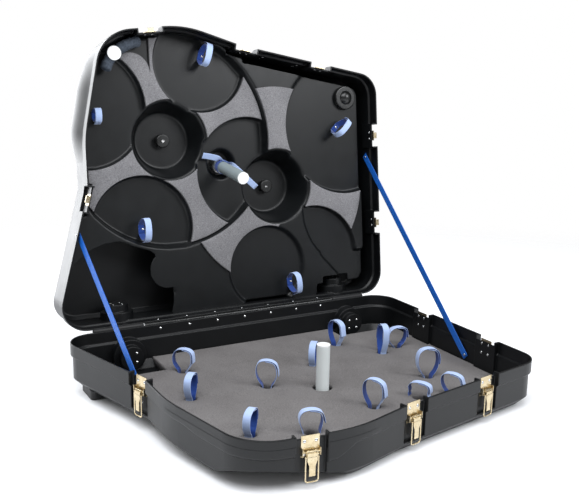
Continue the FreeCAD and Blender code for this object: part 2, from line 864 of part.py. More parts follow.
# Raised bed with its recesses. grow sinks every face by one skin to make the inside of the liner.
def liner_form(grow):
    front_top = front_bed_level + grow
    form = plateau(front_top, lid_roof, grow)
    bed = disc(rear_wheel + (bed_radius,), front_top - 1.0, rear_bed_level + grow, grow)
    cuts = [bed]
    zone = disc(rear_wheel + (bed_radius,), front_top - 1.0, lid_roof, grow)
    for circle in rear_panels:
        cuts.append(disc(circle, front_top - 1.0, rear_bed_level + panel_drop + grow, grow).common(zone))
    for circle in front_panels:
        cuts.append(disc(circle, front_top - 1.0, front_bed_level + panel_drop + grow, grow))
    cuts += right_corner(front_top - 1.0, front_bed_level + panel_drop + grow, grow)
    kept = [disc(circle, front_top - 2.0, lid_roof + 2.0, -grow)
            for circle in (rear_wheel + (bed_radius + ridge_width,), left_lobe)]
    cuts.append(disc(left_well_clear, front_top - 1.0, lid_roof + 1.0, grow).cut(kept))
    half = well_mouth_radius + skin + right_well_margin + grow
    deep = case_back + well_depth + castor_plate_thickness + rivet_head_height
    deep += skin + right_well_margin + grow
    cuts.append(block(castor_right_x - half, castor_right_x + half, -deep, 0.0,
                      front_top - 1.0, lid_roof + 1.0))
    well_floor = lid_roof - liner_skin + grow * 2.0
    for centre, level in ((rear_wheel, rear_bed_level), (front_wheel, front_bed_level)):
        slope = (hub_well_radius - hub_well_floor_radius) / (lid_roof - level)
        top_radius = hub_well_radius + grow + slope * (level - front_top + 1.0)
        floor_radius = hub_well_radius + grow - slope * (well_floor - level)
        cuts.append(Part.makeCone(top_radius, floor_radius, well_floor - front_top + 1.0,
                                  plan(*centre, front_top - 1.0)))
    cup = (lid_pole_x, lid_pole_d, lid_pole_cup_radius)
    cuts.append(disc(cup, front_top - 1.0, rear_bed_level + panel_drop + lid_pole_cup_depth + grow, grow))
    room = pocket(1, lid_pocket_reach, skin + rivet_head_height + 2.0 * liner_clearance + grow)
    return form.cut(cuts + room)


# The sheet is kept in zones that meet edge to edge: wall segments and a floor in each hub well, then sectors
# round the two wells, the deck apart from the skirt and the cups under it.
def liner_zones(formed):
    reach = case_right - case_left
    deck_foot = rear_bed_level + panel_drop + liner_skin + zone_margin
    well_foot = hub_seat - liner_skin
    ring_radius = hub_well_radius + zone_margin
    found = []
    for centre in (rear_wheel, front_wheel):
        found += formed.common(disc(centre + (ring_radius,), well_foot, lid_depth)).Solids
        for segment in range(well_segments):
            wedge = Part.makeCylinder(ring_radius, well_foot, plan(*centre), axis_z, 360.0 / well_segments)
            wedge.rotate(plan(*centre), axis_z, segment * 360.0 / well_segments)
            found += formed.common(wedge).Solids
    rest = formed.cut([disc(centre + (ring_radius,), 0.0, lid_depth) for centre in (rear_wheel, front_wheel)])
    line = plan(*front_wheel) - plan(*rear_wheel)
    turn = Placement(plan(*rear_wheel), Rotation(axis_z, math.degrees(math.atan2(line.y, line.x))))
    for low, high in ((0.0, deck_foot), (deck_foot, lid_depth)):
        for start, end in ((-reach, 0.0), (0.0, line.Length), (line.Length, reach)):
            for near, far in ((-reach, 0.0), (0.0, reach)):
                sector = block(start, end, near, far, low, high)
                sector.Placement = turn.multiply(sector.Placement)
                found += rest.common(sector).Solids
    return group(found)


hub_seat = lid_roof - liner_skin
hub_holes = [rod(skewer_clear_radius, plan(*centre, 0.0), plan(*centre, lid_depth + 1.0))
             for centre in (rear_wheel, front_wheel)]
lid_room = hollow(1, lid_wall, lid_depth, lid_toe, liner_clearance)
lid_liner = liner_form(0.0).cut(liner_form(liner_skin)).common(lid_room).cut(hub_holes).removeSplitter()
lid_shell = lid_shell.cut(hub_holes)

hub_bosses = []
for centre in (rear_wheel, front_wheel):
    boss = rod(hub_boss_radius, plan(*centre, hub_seat - hub_boss_height), plan(*centre, hub_seat))
    rim_edges = [edge for edge in boss.Edges if isinstance(edge.Curve, Part.Circle)
                 and edge.CenterOfMass.z < hub_seat - 1.0]
    boss = boss.makeFillet(4.0, rim_edges)
    hub_bosses.append(boss.cut(rod(skewer_radius, plan(*centre, 0.0), plan(*centre, lid_depth))))


roll_path_radius = nose_radius - roll_inset


# Wheel pads: what is left of each wheel bed between its panels
def pads(centre, level, circles):
    top = level - pad_thickness
    ring = disc(centre + (pad_outer_radius,), top, level).cut(disc(centre + (pad_inner_radius,), top, level))
    ring = ring.common(plateau(top, level, 2.0 * pad_margin))
    away = [disc(circle, top, level, pad_margin) for circle in circles]
    away += pocket(1, lid_pocket_reach, skin + rivet_head_height + 2.0 * liner_clearance + pad_margin)
    roll_bed = disc(nose + (nose_radius,), top, level)
    roll_bed = roll_bed.cut(disc(nose + (roll_path_radius,), top, level, -roll_radius))
    corner = block(case_left, nose[0] + nose_radius / 2.0, -case_front, -nose[1], top, level)
    return ring.cut(away + [roll_bed.common(corner)]).Solids


wheel_pads = pads(rear_wheel, rear_bed_level, rear_panels)
wheel_pads += pads(front_wheel, front_bed_level,
                   [rear_wheel + (bed_radius,)] + front_panels + [right_pad_clear])

# Lid pole: it droops a little in its collar
cup_floor = rear_bed_level + panel_drop + lid_pole_cup_depth
pole_foot = plan(lid_pole_x, lid_pole_d, cup_floor)
droop = math.radians(lid_pole_droop)
pole_line = Vector(0, math.sin(droop), -math.cos(droop))
below = pole_foot - pole_line * pole_lead
pole_room = 2.0 * lid_pole_length
above_floor = block(lid_pole_x - pole_room, lid_pole_x + pole_room, -lid_pole_d - pole_room,
                    -lid_pole_d + pole_room, cup_floor - pole_room, cup_floor)
pole_tip = pole_foot + pole_line * lid_pole_length
lid_pole = rod(pole_radius, below, pole_tip).cut(
    rod(pole_bore_radius, below - pole_line, pole_tip + pole_line)).common(above_floor)
collar_top = pole_foot + pole_line * collar_height
lid_pole_collar = rod(pole_radius + collar_wall, below, collar_top).cut(
    rod(pole_radius + pole_fit, below - pole_line, collar_top + pole_line)).common(above_floor)
lid_pole_cap = rod(pole_radius, pole_tip, pole_tip + pole_line * cap_thickness).fuse(
    rod(pole_bore_radius - pole_fit, pole_tip - pole_line * cap_plug, pole_tip)).removeSplitter()


# Band round the pole's foot with two tails.
def pole_strap():
    low = pole_foot + pole_line * pole_strap_rise
    high = low + pole_line * strap_width
    inner = pole_radius + pole_fit
    outer = inner + strap_thickness
    band = rod(outer, low, high).cut(rod(inner, low - pole_line, high + pole_line))
    bearing = math.radians(pole_strap_bearing)
    across = Vector(math.cos(bearing), math.sin(bearing), 0)
    tails = []
    for way, reach in zip((1.0, -1.0), pole_strap_tails):
        tail = block(0.0, reach, -strap_thickness / 2.0, strap_thickness / 2.0, -strap_width, 0.0)
        tail.translate(Vector(inner + strap_thickness / 2.0, 0, 0))
        facing = Rotation(across * way, Vector(0, 0, 1), pole_line * -1.0, "ZXY")
        tail.Placement = Placement(low, facing).multiply(tail.Placement)
        tails.append(tail)
    return band.fuse(tails).removeSplitter()


# Stay straps between lid and base, straight at rest
inner_wall = band_step + skin


# Point on the inner face of a straight run of wall, at distance d in front of the hinge.
def wall_anchor(run, d, z, inset):
    start, end, normal = runs(outline, inset)[run]
    share = (-d - start.y) / (end.y - start.y)
    point = start + (end - start) * share
    return Vector(point.x, point.y, z), normal


left_lid_seat, left_normal = wall_anchor(left_run, stay_left_lid_d, stay_left_lid_h, skin)
left_base_spot, left_base_normal = latch_places[0]
left_base_seat = left_base_spot - left_base_normal * (pocket_depth + skin)
left_base_seat.z = foam_top + stay_left_base_rise
right_lid_seat, right_normal = wall_anchor(right_run, stay_right_lid_d, stay_right_lid_h, inner_wall)
right_base_z = foam_top + stay_right_base_rise
right_base_seat, right_base_normal = wall_anchor(right_run, stay_right_base_d, right_base_z, inner_wall)


def stay_rivet_ends(point, normal, play):
    head = point - normal * (stay_standoff + stay_thickness + play)
    return head, point + normal * skin


# Rivet through wall and strap with a collar that holds the strap off the wall.
def stay_rivet(point, normal, play):
    head, tail = stay_rivet_ends(point, normal, play)
    collar = rod(stay_collar_radius, point - normal * (stay_standoff - play), point)
    return rivet(head, tail).fuse(collar).removeSplitter()


# Webbing from the base rivet to the lid rivet.
def stay_strap(base_seat, base_normal, lid_seat, lid_normal):
    swing = Rotation(axis_x, -lid_open_angle)
    middle = stay_standoff + stay_thickness / 2.0
    low = base_seat - base_normal * middle
    high = swing.multVec(lid_seat - lid_normal * middle)
    along = (high - low).normalize()
    inward = (base_normal + swing.multVec(lid_normal)) * -1.0
    facing = (inward - along * inward.dot(along)).normalize()
    length = (high - low).Length
    strap = block(-stay_overhang, length + stay_overhang, -stay_width / 2.0, stay_width / 2.0,
                  -stay_thickness / 2.0, stay_thickness / 2.0)
    turned = Rotation(along, Vector(0, 0, 0), facing, "XZY")
    strap.Placement = Placement(low, turned).multiply(strap.Placement)
    reach = stay_standoff + 2.0 * stay_thickness
    hole_radius = rivet_radius + stay_hole_margin
    lid_head = swing.multVec(lid_seat - lid_normal * reach)
    base_hole = rod(hole_radius, base_seat, base_seat - base_normal * reach)
    lid_hole = rod(hole_radius, swing.multVec(lid_seat), lid_head)
    return strap.cut([base_hole, lid_hole])


# Corner pieces of the lid
bumper_foot = plan(bumper_x, bumper_d, front_bed_level + panel_drop)
bumper_face = bumper_foot - Vector(0, 0, bumper_height)
corner_bumper = rod(bumper_radius, bumper_face, bumper_foot)
bumper_edges = [edge for edge in corner_bumper.Edges if isinstance(edge.Curve, Part.Circle)
                and edge.CenterOfMass.z < bumper_foot.z - 1.0]
corner_bumper = corner_bumper.makeFillet(4.0, bumper_edges).fuse(
    dome(bumper_dome_radius, bumper_dome_height, bumper_face, axis_z * -1.0))

roll_z = rear_bed_level - roll_radius
roll_middle = roll_start + roll_sweep / 2.0


def roll_point(bearing):
    x, d = polar(nose, roll_path_radius, bearing)
    return plan(x, d, roll_z)


roll_wire = Part.Wire([Part.Arc(roll_point(roll_start), roll_point(roll_middle),
                                roll_point(roll_start + roll_sweep)).toShape()])
roll_tangent = roll_wire.Edges[0].tangentAt(roll_wire.Edges[0].FirstParameter)
roll_ring = Part.Wire([Part.makeCircle(roll_radius, roll_point(roll_start), roll_tangent)])
corner_roll = roll_wire.makePipeShell([roll_ring], True, False)
plug_seat = roll_point(roll_middle) - Vector(0, 0, roll_radius - 1.5)
corner_plug = rod(plug_radius, plug_seat - Vector(0, 0, plug_thickness), plug_seat).cut(corner_roll)

# Carry handle on the lid's front wall
handle_spot = spot(front_run, handle_place)
wall_face = -band_step
handle_half = handle_span / 2.0


def handle_rivet_line():
    return [(Vector(x, wall_face - skin, handle_z + rise),
             Vector(x, wall_face + bracket_base, handle_z + rise))
            for x in (-handle_half, handle_half) for rise in (-bracket_rivet_rise, bracket_rivet_rise)]


def handle_brackets():
    brackets = []
    for x in (-handle_half, handle_half):
        base = block(x - bracket_width / 2.0, x + bracket_width / 2.0, wall_face, wall_face + bracket_base,
                     handle_z - bracket_half, handle_z + bracket_half)
        boss = block(x - bracket_width / 2.0, x + bracket_width / 2.0, wall_face, wall_face + handle_out,
                     handle_z - bracket_eye, handle_z + bracket_eye)
        eye = rod(bracket_eye, Vector(x - bracket_width / 2.0, wall_face + handle_out, handle_z),
                  Vector(x + bracket_width / 2.0, wall_face + handle_out, handle_z))
        bore = rod(handle_pin_radius + running_clearance,
                   Vector(x - bracket_width, wall_face + handle_out, handle_z),
                   Vector(x + bracket_width, wall_face + handle_out, handle_z))
        holes = [rivet_hole(start, end) for start, end in handle_rivet_line()]
        brackets.append(base.fuse([boss, eye]).cut([bore] + holes).removeSplitter())
    return brackets


# Grip bar on two arms whose pins turn in the brackets. It lies along the wall, away from the rim.
def carry_handle():
    y = wall_face + handle_out
    inner = handle_half - bracket_width / 2.0 - handle_gap
    grip_z = handle_z + handle_reach
    grip = rod(handle_grip_radius, Vector(-inner, y, grip_z), Vector(inner, y, grip_z))
    round_edges = [edge for edge in grip.Edges if isinstance(edge.Curve, Part.Circle)]
    grip = grip.makeFillet(handle_grip_fillet, round_edges)
    pieces = []
    for side in (-1.0, 1.0):
        x0, x1 = sorted((side * inner, side * (inner - handle_arm_thickness)))
        pieces.append(block(x0, x1, y - handle_arm_half, y + handle_arm_half, handle_z, grip_z))
        pieces.append(rod(handle_arm_half, Vector(x0, y, handle_z), Vector(x1, y, handle_z)))
        pieces.append(rod(handle_pin_radius, Vector(side * inner, y, handle_z),
                          Vector(side * (handle_half + bracket_width / 2.0), y, handle_z)))
    return grip.fuse(pieces).removeSplitter()


# Holes for every rivet, then the finished pieces
lid_loop_list = [
    (262, 826, 90, rear_bed_level + panel_drop), (748, 590, 50, front_bed_level + panel_drop),
    (34, 288, 90, rear_bed_level + panel_drop), (544, 70, 85, front_bed_level + panel_drop),
    (-88, 630, 90, rear_bed_level + panel_drop),
]


def lid_strap_rivet_ends(x, d, turn, level):
    offset = Rotation(axis_z, turn).multVec(Vector(0, -strap_width / 4.0, 0))
    foot = plan(x, d, level) + offset
    return foot + Vector(0, 0, liner_skin), foot - Vector(0, 0, strap_thickness)


hinge_base_ends = hinge_rivet_line(-1)
hinge_lid_ends = hinge_rivet_line(1)
latch_ends = placed_ends(latch_rivet_line())
catch_ends = placed_ends(catch_rivet_line())
base_wells = [(x, base_castor_z) for x in (castor_left_x, castor_right_x)]
lid_wells = [(x, lid_castor_z) for x in (castor_left_x, castor_right_x)]


def well_ends(wells):
    found = []
    for x, z in wells:
        shift = plan(x, case_back + well_depth, z)
        found += [(start + shift, end + shift) for start, end in castor_rivet_line()]
    return found


base_well_ends = well_ends(base_wells)
lid_well_ends = well_ends(lid_wells)
handle_turn = Placement(handle_spot[0], Rotation(axis_z, math.degrees(
    math.atan2(-handle_spot[1].x, handle_spot[1].y))))
handle_ends = [(handle_turn.multVec(start), handle_turn.multVec(end)) for start, end in handle_rivet_line()]
base_stays = [
    (left_base_seat, left_base_normal, stay_left_play),
    (right_base_seat, right_base_normal, stay_right_play),
]
lid_stays = [
    (left_lid_seat, left_normal, stay_left_play),
    (right_lid_seat, right_normal, stay_right_play),
]
lid_strap_ends = [lid_strap_rivet_ends(*loop) for loop in lid_loop_list]

base_hole_ends = hinge_base_ends + latch_ends + base_well_ends
base_hole_ends += [stay_rivet_ends(*stay) for stay in base_stays]
lid_hole_ends = hinge_lid_ends + catch_ends + lid_well_ends + handle_ends
lid_hole_ends += [stay_rivet_ends(*stay) for stay in lid_stays]
base_shell = base_shell.cut([rivet_hole(*ends) for ends in base_hole_ends])
lid_shell = lid_shell.cut([rivet_hole(*ends) for ends in lid_hole_ends])
lid_liner = liner_zones(lid_liner.cut([rivet_hole(*ends) for ends in lid_strap_ends]))
hinge_base_leaf = hinge_leaf(-1, 0).cut([rivet_hole(*ends) for ends in hinge_base_ends])
hinge_lid_leaf = hinge_leaf(1, 1).cut([rivet_hole(*ends) for ends in hinge_lid_ends])

base_nodes = {
    "base_shell": base_shell,
    "base_feet": group(feet),
    "floor_foam": floor_foam(),
    "base_pole_socket": base_pole_socket,
    "base_pole": base_pole,
    "base_pole_cap": base_pole_cap,
    "hinge_base_leaf": hinge_base_leaf,
    "hinge_pin": rod(hinge_pin_radius, Vector(hinge_start, 0, 0), Vector(hinge_start + hinge_length, 0, 0)),
    "hinge_base_rivets": group([rivet(*ends) for ends in hinge_base_ends]),
    "latch_plates": group(on_latches([latch_plate()])),
    "latch_pins": group(on_latches([latch_pin()])),
    "latch_rivets": group([rivet(*ends) for ends in latch_ends]),
    "base_castor_plates": group([in_well(castor_plate(), *well) for well in base_wells]),
    "base_castor_rivets": group([rivet(*ends) for ends in base_well_ends]),
    "base_tie_straps": group([base_loop(*loop) for loop in base_loops]),
    "base_stay_rivets": group([stay_rivet(*stay) for stay in base_stays]),
    "stay_strap_left": stay_strap(left_base_seat, left_base_normal, left_lid_seat, left_normal),
    "stay_strap_right": stay_strap(right_base_seat, right_base_normal, right_lid_seat, right_normal),
}

lid_nodes = {
    "lid_shell": lid_shell,
    "lid_liner": lid_liner,
    "wheel_pads": group(wheel_pads),
    "hub_bosses": group(hub_bosses),
    "lid_pole": lid_pole,
    "lid_pole_collar": lid_pole_collar,
    "lid_pole_cap": lid_pole_cap,
    "pole_strap": pole_strap(),
    "hinge_lid_leaf": hinge_lid_leaf,
    "hinge_lid_rivets": group([rivet(*ends) for ends in hinge_lid_ends]),
    "catch_plates": group(on_latches([catch_plate()])),
    "lid_wall_rivets": group([rivet(*ends) for ends in catch_ends + handle_ends]),
    "lid_castor_plates": group([in_well(castor_plate(), *well) for well in lid_wells]),
    "lid_castor_rivets": group([rivet(*ends) for ends in lid_well_ends]),
    "lid_tie_straps": group([lid_loop(*loop) for loop in lid_loop_list]),
    "lid_strap_rivets": group([rivet(*ends) for ends in lid_strap_ends]),
    "lid_stay_rivets": group([stay_rivet(*stay) for stay in lid_stays]),
    "corner_bumper": corner_bumper,
    "corner_roll": corner_roll,
    "corner_plug": corner_plug,
    "handle_brackets": group([seat(bracket, handle_spot) for bracket in handle_brackets()]),
    "carry_handle": seat(carry_handle(), handle_spot),
}

for number, place in enumerate(latch_places, start=1):
    base_nodes["latch_lever_%d" % number] = seat(latch_lever(), place)
    base_nodes["latch_bail_%d" % number] = seat(latch_bail(), place)
for number, well in enumerate(base_wells, start=1):
    base_nodes["castor_fork_%d" % number] = in_well(castor_fork(), *well)
    base_nodes["castor_wheel_%d" % number] = in_well(castor_wheel(), *well)
for number, well in enumerate(lid_wells, start=3):
    lid_nodes["castor_fork_%d" % number] = in_well(castor_fork(), *well)
    lid_nodes["castor_wheel_%d" % number] = in_well(castor_wheel(), *well)

# Swing the lid open and set the case down on its rear feet and the front of its floor
front_contact = plan(crown_x, case_front - band_step - base_toe, -base_depth)
foot_middle = case_back + foot_inset + band_step + foot_width / 2.0
tilt = math.degrees(math.atan2(foot_drop, -front_contact.y - foot_middle))
swing = Placement(Vector(0, 0, 0), Rotation(axis_x, -lid_open_angle))
lean = Placement(Vector(0, 0, 0), Rotation(axis_x, tilt))
ground = lean.multVec(front_contact).z + sole_flat


def carried(placement, shape):
    moved = shape.copy()
    moved.Placement = placement.multiply(moved.Placement)
    return moved


nodes = {name: carried(lean, shape) for name, shape in base_nodes.items()}
nodes.update({name: carried(lean.multiply(swing), shape) for name, shape in lid_nodes.items()})
spread = case_right - case_left + case_front
under = block(-spread, spread, -spread, spread, ground - spread, ground)
for name in ("base_shell", "base_feet"):
    nodes[name] = nodes[name].cut(under)
extent = group(list(nodes.values())).optimalBoundingBox(False, False)
home = Vector(-extent.Center.x, -extent.Center.y, -ground)
stand = Placement(home, Rotation()).multiply(lean)
open_stand = stand.multiply(swing)

os.makedirs("parts", exist_ok=True)
for name, shape in nodes.items():
    shape = shape.copy()
    shape.translate(home)
    shape.exportStep("parts/%s.step" % name)
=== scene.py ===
import json
import math
import bpy
import numpy as np
from mathutils import Matrix
from mathutils.bvhtree import BVHTree
from mathutils.geometry import delaunay_2d_cdt


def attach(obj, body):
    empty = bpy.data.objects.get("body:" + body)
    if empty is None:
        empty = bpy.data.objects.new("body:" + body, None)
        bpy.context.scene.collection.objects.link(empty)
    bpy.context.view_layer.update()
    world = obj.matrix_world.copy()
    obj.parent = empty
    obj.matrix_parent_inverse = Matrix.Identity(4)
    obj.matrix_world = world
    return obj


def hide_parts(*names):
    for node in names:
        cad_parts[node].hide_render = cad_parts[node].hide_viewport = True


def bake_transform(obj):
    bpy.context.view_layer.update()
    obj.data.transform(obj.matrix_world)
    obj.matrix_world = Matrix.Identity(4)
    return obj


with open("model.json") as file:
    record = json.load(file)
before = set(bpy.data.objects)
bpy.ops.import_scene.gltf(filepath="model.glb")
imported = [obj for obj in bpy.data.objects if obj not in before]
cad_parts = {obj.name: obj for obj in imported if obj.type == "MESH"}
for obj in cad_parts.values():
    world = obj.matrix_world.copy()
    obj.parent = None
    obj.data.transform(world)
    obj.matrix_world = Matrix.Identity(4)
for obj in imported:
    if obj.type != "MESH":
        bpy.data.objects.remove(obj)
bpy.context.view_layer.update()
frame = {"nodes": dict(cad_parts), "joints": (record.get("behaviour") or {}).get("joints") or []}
nodes = frame["nodes"]
scene = bpy.context.scene
print("frame loaded:", len(nodes), "nodes")

# The case is drawn closed and level, in mm: x along the hinge, y = -d with d out from it, z up from the rim.
stance = {"lean": 2.17282, "open": 96.7, "hingeMiddle": 336.0}
hinge = next(j for j in frame["joints"] if j["name"] == "lid_hinge")
home = np.array(hinge["pos_m"]) - np.array([stance["hingeMiddle"] / 1000, 0, 0])


# y and z go round the hinge line by the angle, x stays
def aboutHinge(points, degrees):
    a = math.radians(degrees)
    x, y, z = np.moveaxis(np.asarray(points, float), -1, 0)
    return np.stack([x, y * math.cos(a) - z * math.sin(a), y * math.sin(a) + z * math.cos(a)], -1)


# drawn mm to metres on the standing base or on the open lid, and back
def onBase(points):
    return aboutHinge(points, stance["lean"]) / 1000 + home


def onLid(points):
    return aboutHinge(points, stance["lean"] - stance["open"]) / 1000 + home


def offBase(points):
    return aboutHinge((np.asarray(points, float) - home) * 1000, -stance["lean"])


def offLid(points):
    return aboutHinge((np.asarray(points, float) - home) * 1000, stance["open"] - stance["lean"])


# seen from inside the lid, its drawing is turned half round the x axis so that up is towards the base
halfTurn = np.array([1.0, -1.0, -1.0])


def lidUp(points):
    return offLid(points) * halfTurn


def fromLidUp(points):
    return onLid(np.asarray(points) * halfTurn)


# a CAD node's points in metres
def nodePoints(name):
    mesh = nodes[name].data
    co = np.empty(len(mesh.vertices) * 3, np.float32)
    mesh.vertices.foreach_get("co", co)
    return co.reshape(-1, 3).astype(float)


# the vertex number at each corner of a mesh's faces
def faceCorners(mesh):
    corners = np.empty(len(mesh.loops), np.int32)
    mesh.loops.foreach_get("vertex_index", corners)
    return corners


# rows of vectors, each divided by its length
def unitRows(vectors):
    return vectors / np.linalg.norm(vectors, axis=1, keepdims=True)


# unit way along a line at each point, from its neighbours
def tangents(line):
    return unitRows(np.gradient(line, axis=0))


# distance covered along a line up to each point
def distanceRun(line):
    return np.concatenate([[0], np.cumsum(np.linalg.norm(np.diff(line, axis=0), axis=1))])


# the plan values of a line at given distances along it
def atMarks(line, run, marks):
    return np.stack([np.interp(marks, run, line[:, k]) for k in (0, 1)], 1)


# smooth step from 0 to 1: t squared times (3 - 2 t)
def smoothStep(value, low, high):
    t = np.clip((value - low) / (high - low), 0, 1)
    return t * t * (3 - 2 * t)


# quads of a grid of rows by columns, its last column joined to the first where told
def gridFaces(rows, cols, wrapCols=False, first=0):
    r = np.arange(rows - 1)[:, None] * cols
    c = np.arange(cols if wrapCols else cols - 1)[None, :]
    c2 = (c + 1) % cols
    quads = np.stack(np.broadcast_arrays(r + c, r + c2, r + cols + c2, r + cols + c), -1)
    return (quads.reshape(-1, 4) + first).tolist()


# the first ring of a tube turned round and its last ring as it is, one face each
def endCaps(rows, cols, first=0):
    ring = np.arange(cols) + first
    return [ring[::-1].tolist(), (ring + (rows - 1) * cols).tolist()]


# directed edges that only one triangle has, which is the rim of an open sheet
def openEdges(tris):
    edges = np.concatenate([tris[:, [0, 1]], tris[:, [1, 2]], tris[:, [2, 0]]])
    edges = edges[edges[:, 0] != edges[:, 1]]
    have = set(map(tuple, edges.tolist()))
    return [(a, b) for a, b in have if (b, a) not in have]


# Catmull-Rom: each span is the cubic that leaves and enters its ends along their neighbours
def smoothLine(stops, perSpan=8):
    p = np.asarray(stops, float)
    p = np.vstack([2 * p[0] - p[1], p, 2 * p[-1] - p[-2]])
    t = np.linspace(0, 1, perSpan, endpoint=False)[None, :, None]
    a, b, c, e = (p[k:len(p) - 3 + k, None, :] for k in range(4))
    square, cube = 2 * a - 5 * b + 4 * c - e, 3 * b - a - 3 * c + e
    line = 0.5 * (2 * b + (c - a) * t + square * t ** 2 + cube * t ** 3)
    return np.vstack([line.reshape(-1, p.shape[1]), p[-2]])


# smooth shaded piece at the origin, from points in metres and faces
def makePiece(name, points, faces, finish):
    mesh = bpy.data.meshes.new(name)
    mesh.from_pydata(np.asarray(points, float).tolist(), [], faces)
    mesh.validate()
    mesh.shade_smooth()
    mesh.materials.append(finish)
    piece = bpy.data.objects.new(name, mesh)
    scene.collection.objects.link(piece)
    return piece


# an object's own x, y and z axes and its place, as the columns of its matrix
def setPlace(thing, x, y, z, spot):
    columns = np.eye(4)
    columns[:3, :4] = np.stack([x, y, z, spot], 1)
    thing.matrix_world = Matrix(columns.tolist())


# sRGB hex to linear: the low part is a straight line, the rest a 2.4 power
def linear(code):
    c = np.array([int(code[k:k + 2], 16) for k in (1, 3, 5)]) / 255
    c = np.where(c <= 0.04045, c / 12.92, ((c + 0.055) / 1.055) ** 2.4)
    return (*[float(v) for v in c], 1.0)


# a node's sockets by name: each takes a socket to join or a value to set
def feed(tree, node, inputs):
    for key, value in inputs.items():
        if isinstance(value, bpy.types.NodeSocket):
            tree.links.new(value, node.inputs[key])
        else:
            node.inputs[key].default_value = value


# one shader node of a kind: settings are its own fields, links its sockets
def addNode(tree, kind, settings=None, links=None):
    node = tree.nodes.new("ShaderNode" + kind)
    for key, value in (settings or {}).items():
        setattr(node, key, value)
    feed(tree, node, links or {})
    return node


# an empty material with its shader, its output and the coordinates its patterns lie in
def newFinish(name):
    finish = bpy.data.materials.new(name)
    finish.use_nodes = True
    tree = finish.node_tree
    tree.nodes.clear()
    shader = addNode(tree, "BsdfPrincipled")
    addNode(tree, "OutputMaterial", links={"Surface": shader.outputs[0]})
    place = addNode(tree, "TexCoord").outputs
    return finish, tree, shader, place


# a mix of two colours: socket 0 is the share of the second, 6 and 7 are the colours
colourMix = {"data_type": "RGBA"}


# Plastic with a grain pressed in by its mould: a fine pebble in the light, paler where it is rubbed.
def mouldedPlastic(name, spec):
    finish, tree, shader, place = newFinish(name)
    grain = addNode(tree, "TexVoronoi", {"feature": "SMOOTH_F1"}, {
        "Vector": place["Object"], "Scale": 1000 / spec["grainMm"], "Smoothness": 0.6})
    cloud = addNode(tree, "TexNoise", {}, {
        "Vector": place["Object"], "Scale": 1000 / spec["cloudMm"], "Detail": 6.0, "Roughness": 0.6})
    tone = addNode(tree, "Mix", colourMix, {
        0: cloud.outputs["Fac"], 6: linear(spec["dark"]), 7: linear(spec["pale"])})
    rough = addNode(tree, "MapRange", {}, {
        "Value": cloud.outputs["Fac"], "From Min": 0.3, "From Max": 0.7,
        "To Min": spec["rough"][0], "To Max": spec["rough"][1]})
    edge = addNode(tree, "Bevel", {"samples": 6}, {"Radius": spec["edgeMm"] / 1000})
    grainDepth = spec["grainMm"] / 4
    bump = addNode(tree, "Bump", {}, {
        "Height": grain.outputs["Distance"], "Normal": edge.outputs[0],
        "Strength": spec["bump"], "Distance": grainDepth / 1000})
    feed(tree, shader, {"Base Color": tone.outputs[2], "Roughness": rough.outputs[0],
                        "Normal": bump.outputs[0], "IOR": spec["ior"]})
    return finish


# Cut closed-cell foam: matt, with a salt and pepper of opened cells and a soft overall mottle.
def cutFoam(name, spec):
    finish, tree, shader, place = newFinish(name)
    cells = addNode(tree, "TexVoronoi", {}, {
        "Vector": place["Object"], "Scale": 1000 / spec["cellMm"]})
    fleck = addNode(tree, "TexNoise", {}, {
        "Vector": place["Object"], "Scale": 1000 / spec["fleckMm"], "Detail": 4.0, "Roughness": 0.75})
    mottle = addNode(tree, "TexNoise", {}, {
        "Vector": place["Object"], "Scale": 1000 / spec["mottleMm"], "Detail": 3.0})
    contrast = addNode(tree, "MapRange", {}, {
        "Value": fleck.outputs["Fac"], "From Min": 0.3, "From Max": 0.7})
    tone = addNode(tree, "Mix", colourMix, {
        0: contrast.outputs[0], 6: linear(spec["dark"]), 7: linear(spec["pale"])})
    shade = addNode(tree, "Mix", {**colourMix, "blend_type": "MULTIPLY"}, {
        0: mottle.outputs["Fac"], 6: tone.outputs[2], 7: linear(spec["worn"])})
    cellDepth = spec["cellMm"] / 2.5
    bump = addNode(tree, "Bump", {}, {
        "Height": cells.outputs["Distance"], "Strength": spec["bump"], "Distance": cellDepth / 1000})
    feed(tree, shader, {"Base Color": shade.outputs[2], "Normal": bump.outputs[0],
                        "Roughness": 0.95, "IOR": 1.45})
    return finish


# Hook-and-loop strap: a pale brushed pile on its outer face, dark stiff hooks on the inner one.
def hookAndLoop(name, spec):
    finish, tree, shader, place = newFinish(name)
    outer = addNode(tree, "Attribute", {"attribute_name": "outerFace"})
    pile = addNode(tree, "TexNoise", {}, {
        "Vector": place["UV"], "Scale": 1000 / spec["pileMm"], "Detail": 5.0, "Roughness": 0.7})
    loops = addNode(tree, "Mix", colourMix, {
        0: pile.outputs["Fac"], 6: linear(spec["pileDark"]), 7: linear(spec["pilePale"])})
    hooks = addNode(tree, "Mix", colourMix, {
        0: pile.outputs["Fac"], 6: linear(spec["hookDark"]), 7: linear(spec["hookPale"])})
    both = addNode(tree, "Mix", colourMix, {
        0: outer.outputs["Fac"], 6: hooks.outputs[2], 7: loops.outputs[2]})
    bump = addNode(tree, "Bump", {}, {
        "Height": pile.outputs["Fac"], "Strength": 0.5, "Distance": spec["napMm"] / 1000})
    feed(tree, shader, {"Base Color": both.outputs[2], "Normal": bump.outputs[0],
                        "Roughness": 0.85, "Sheen Weight": 0.25, "Sheen Roughness": 0.5})
    return finish


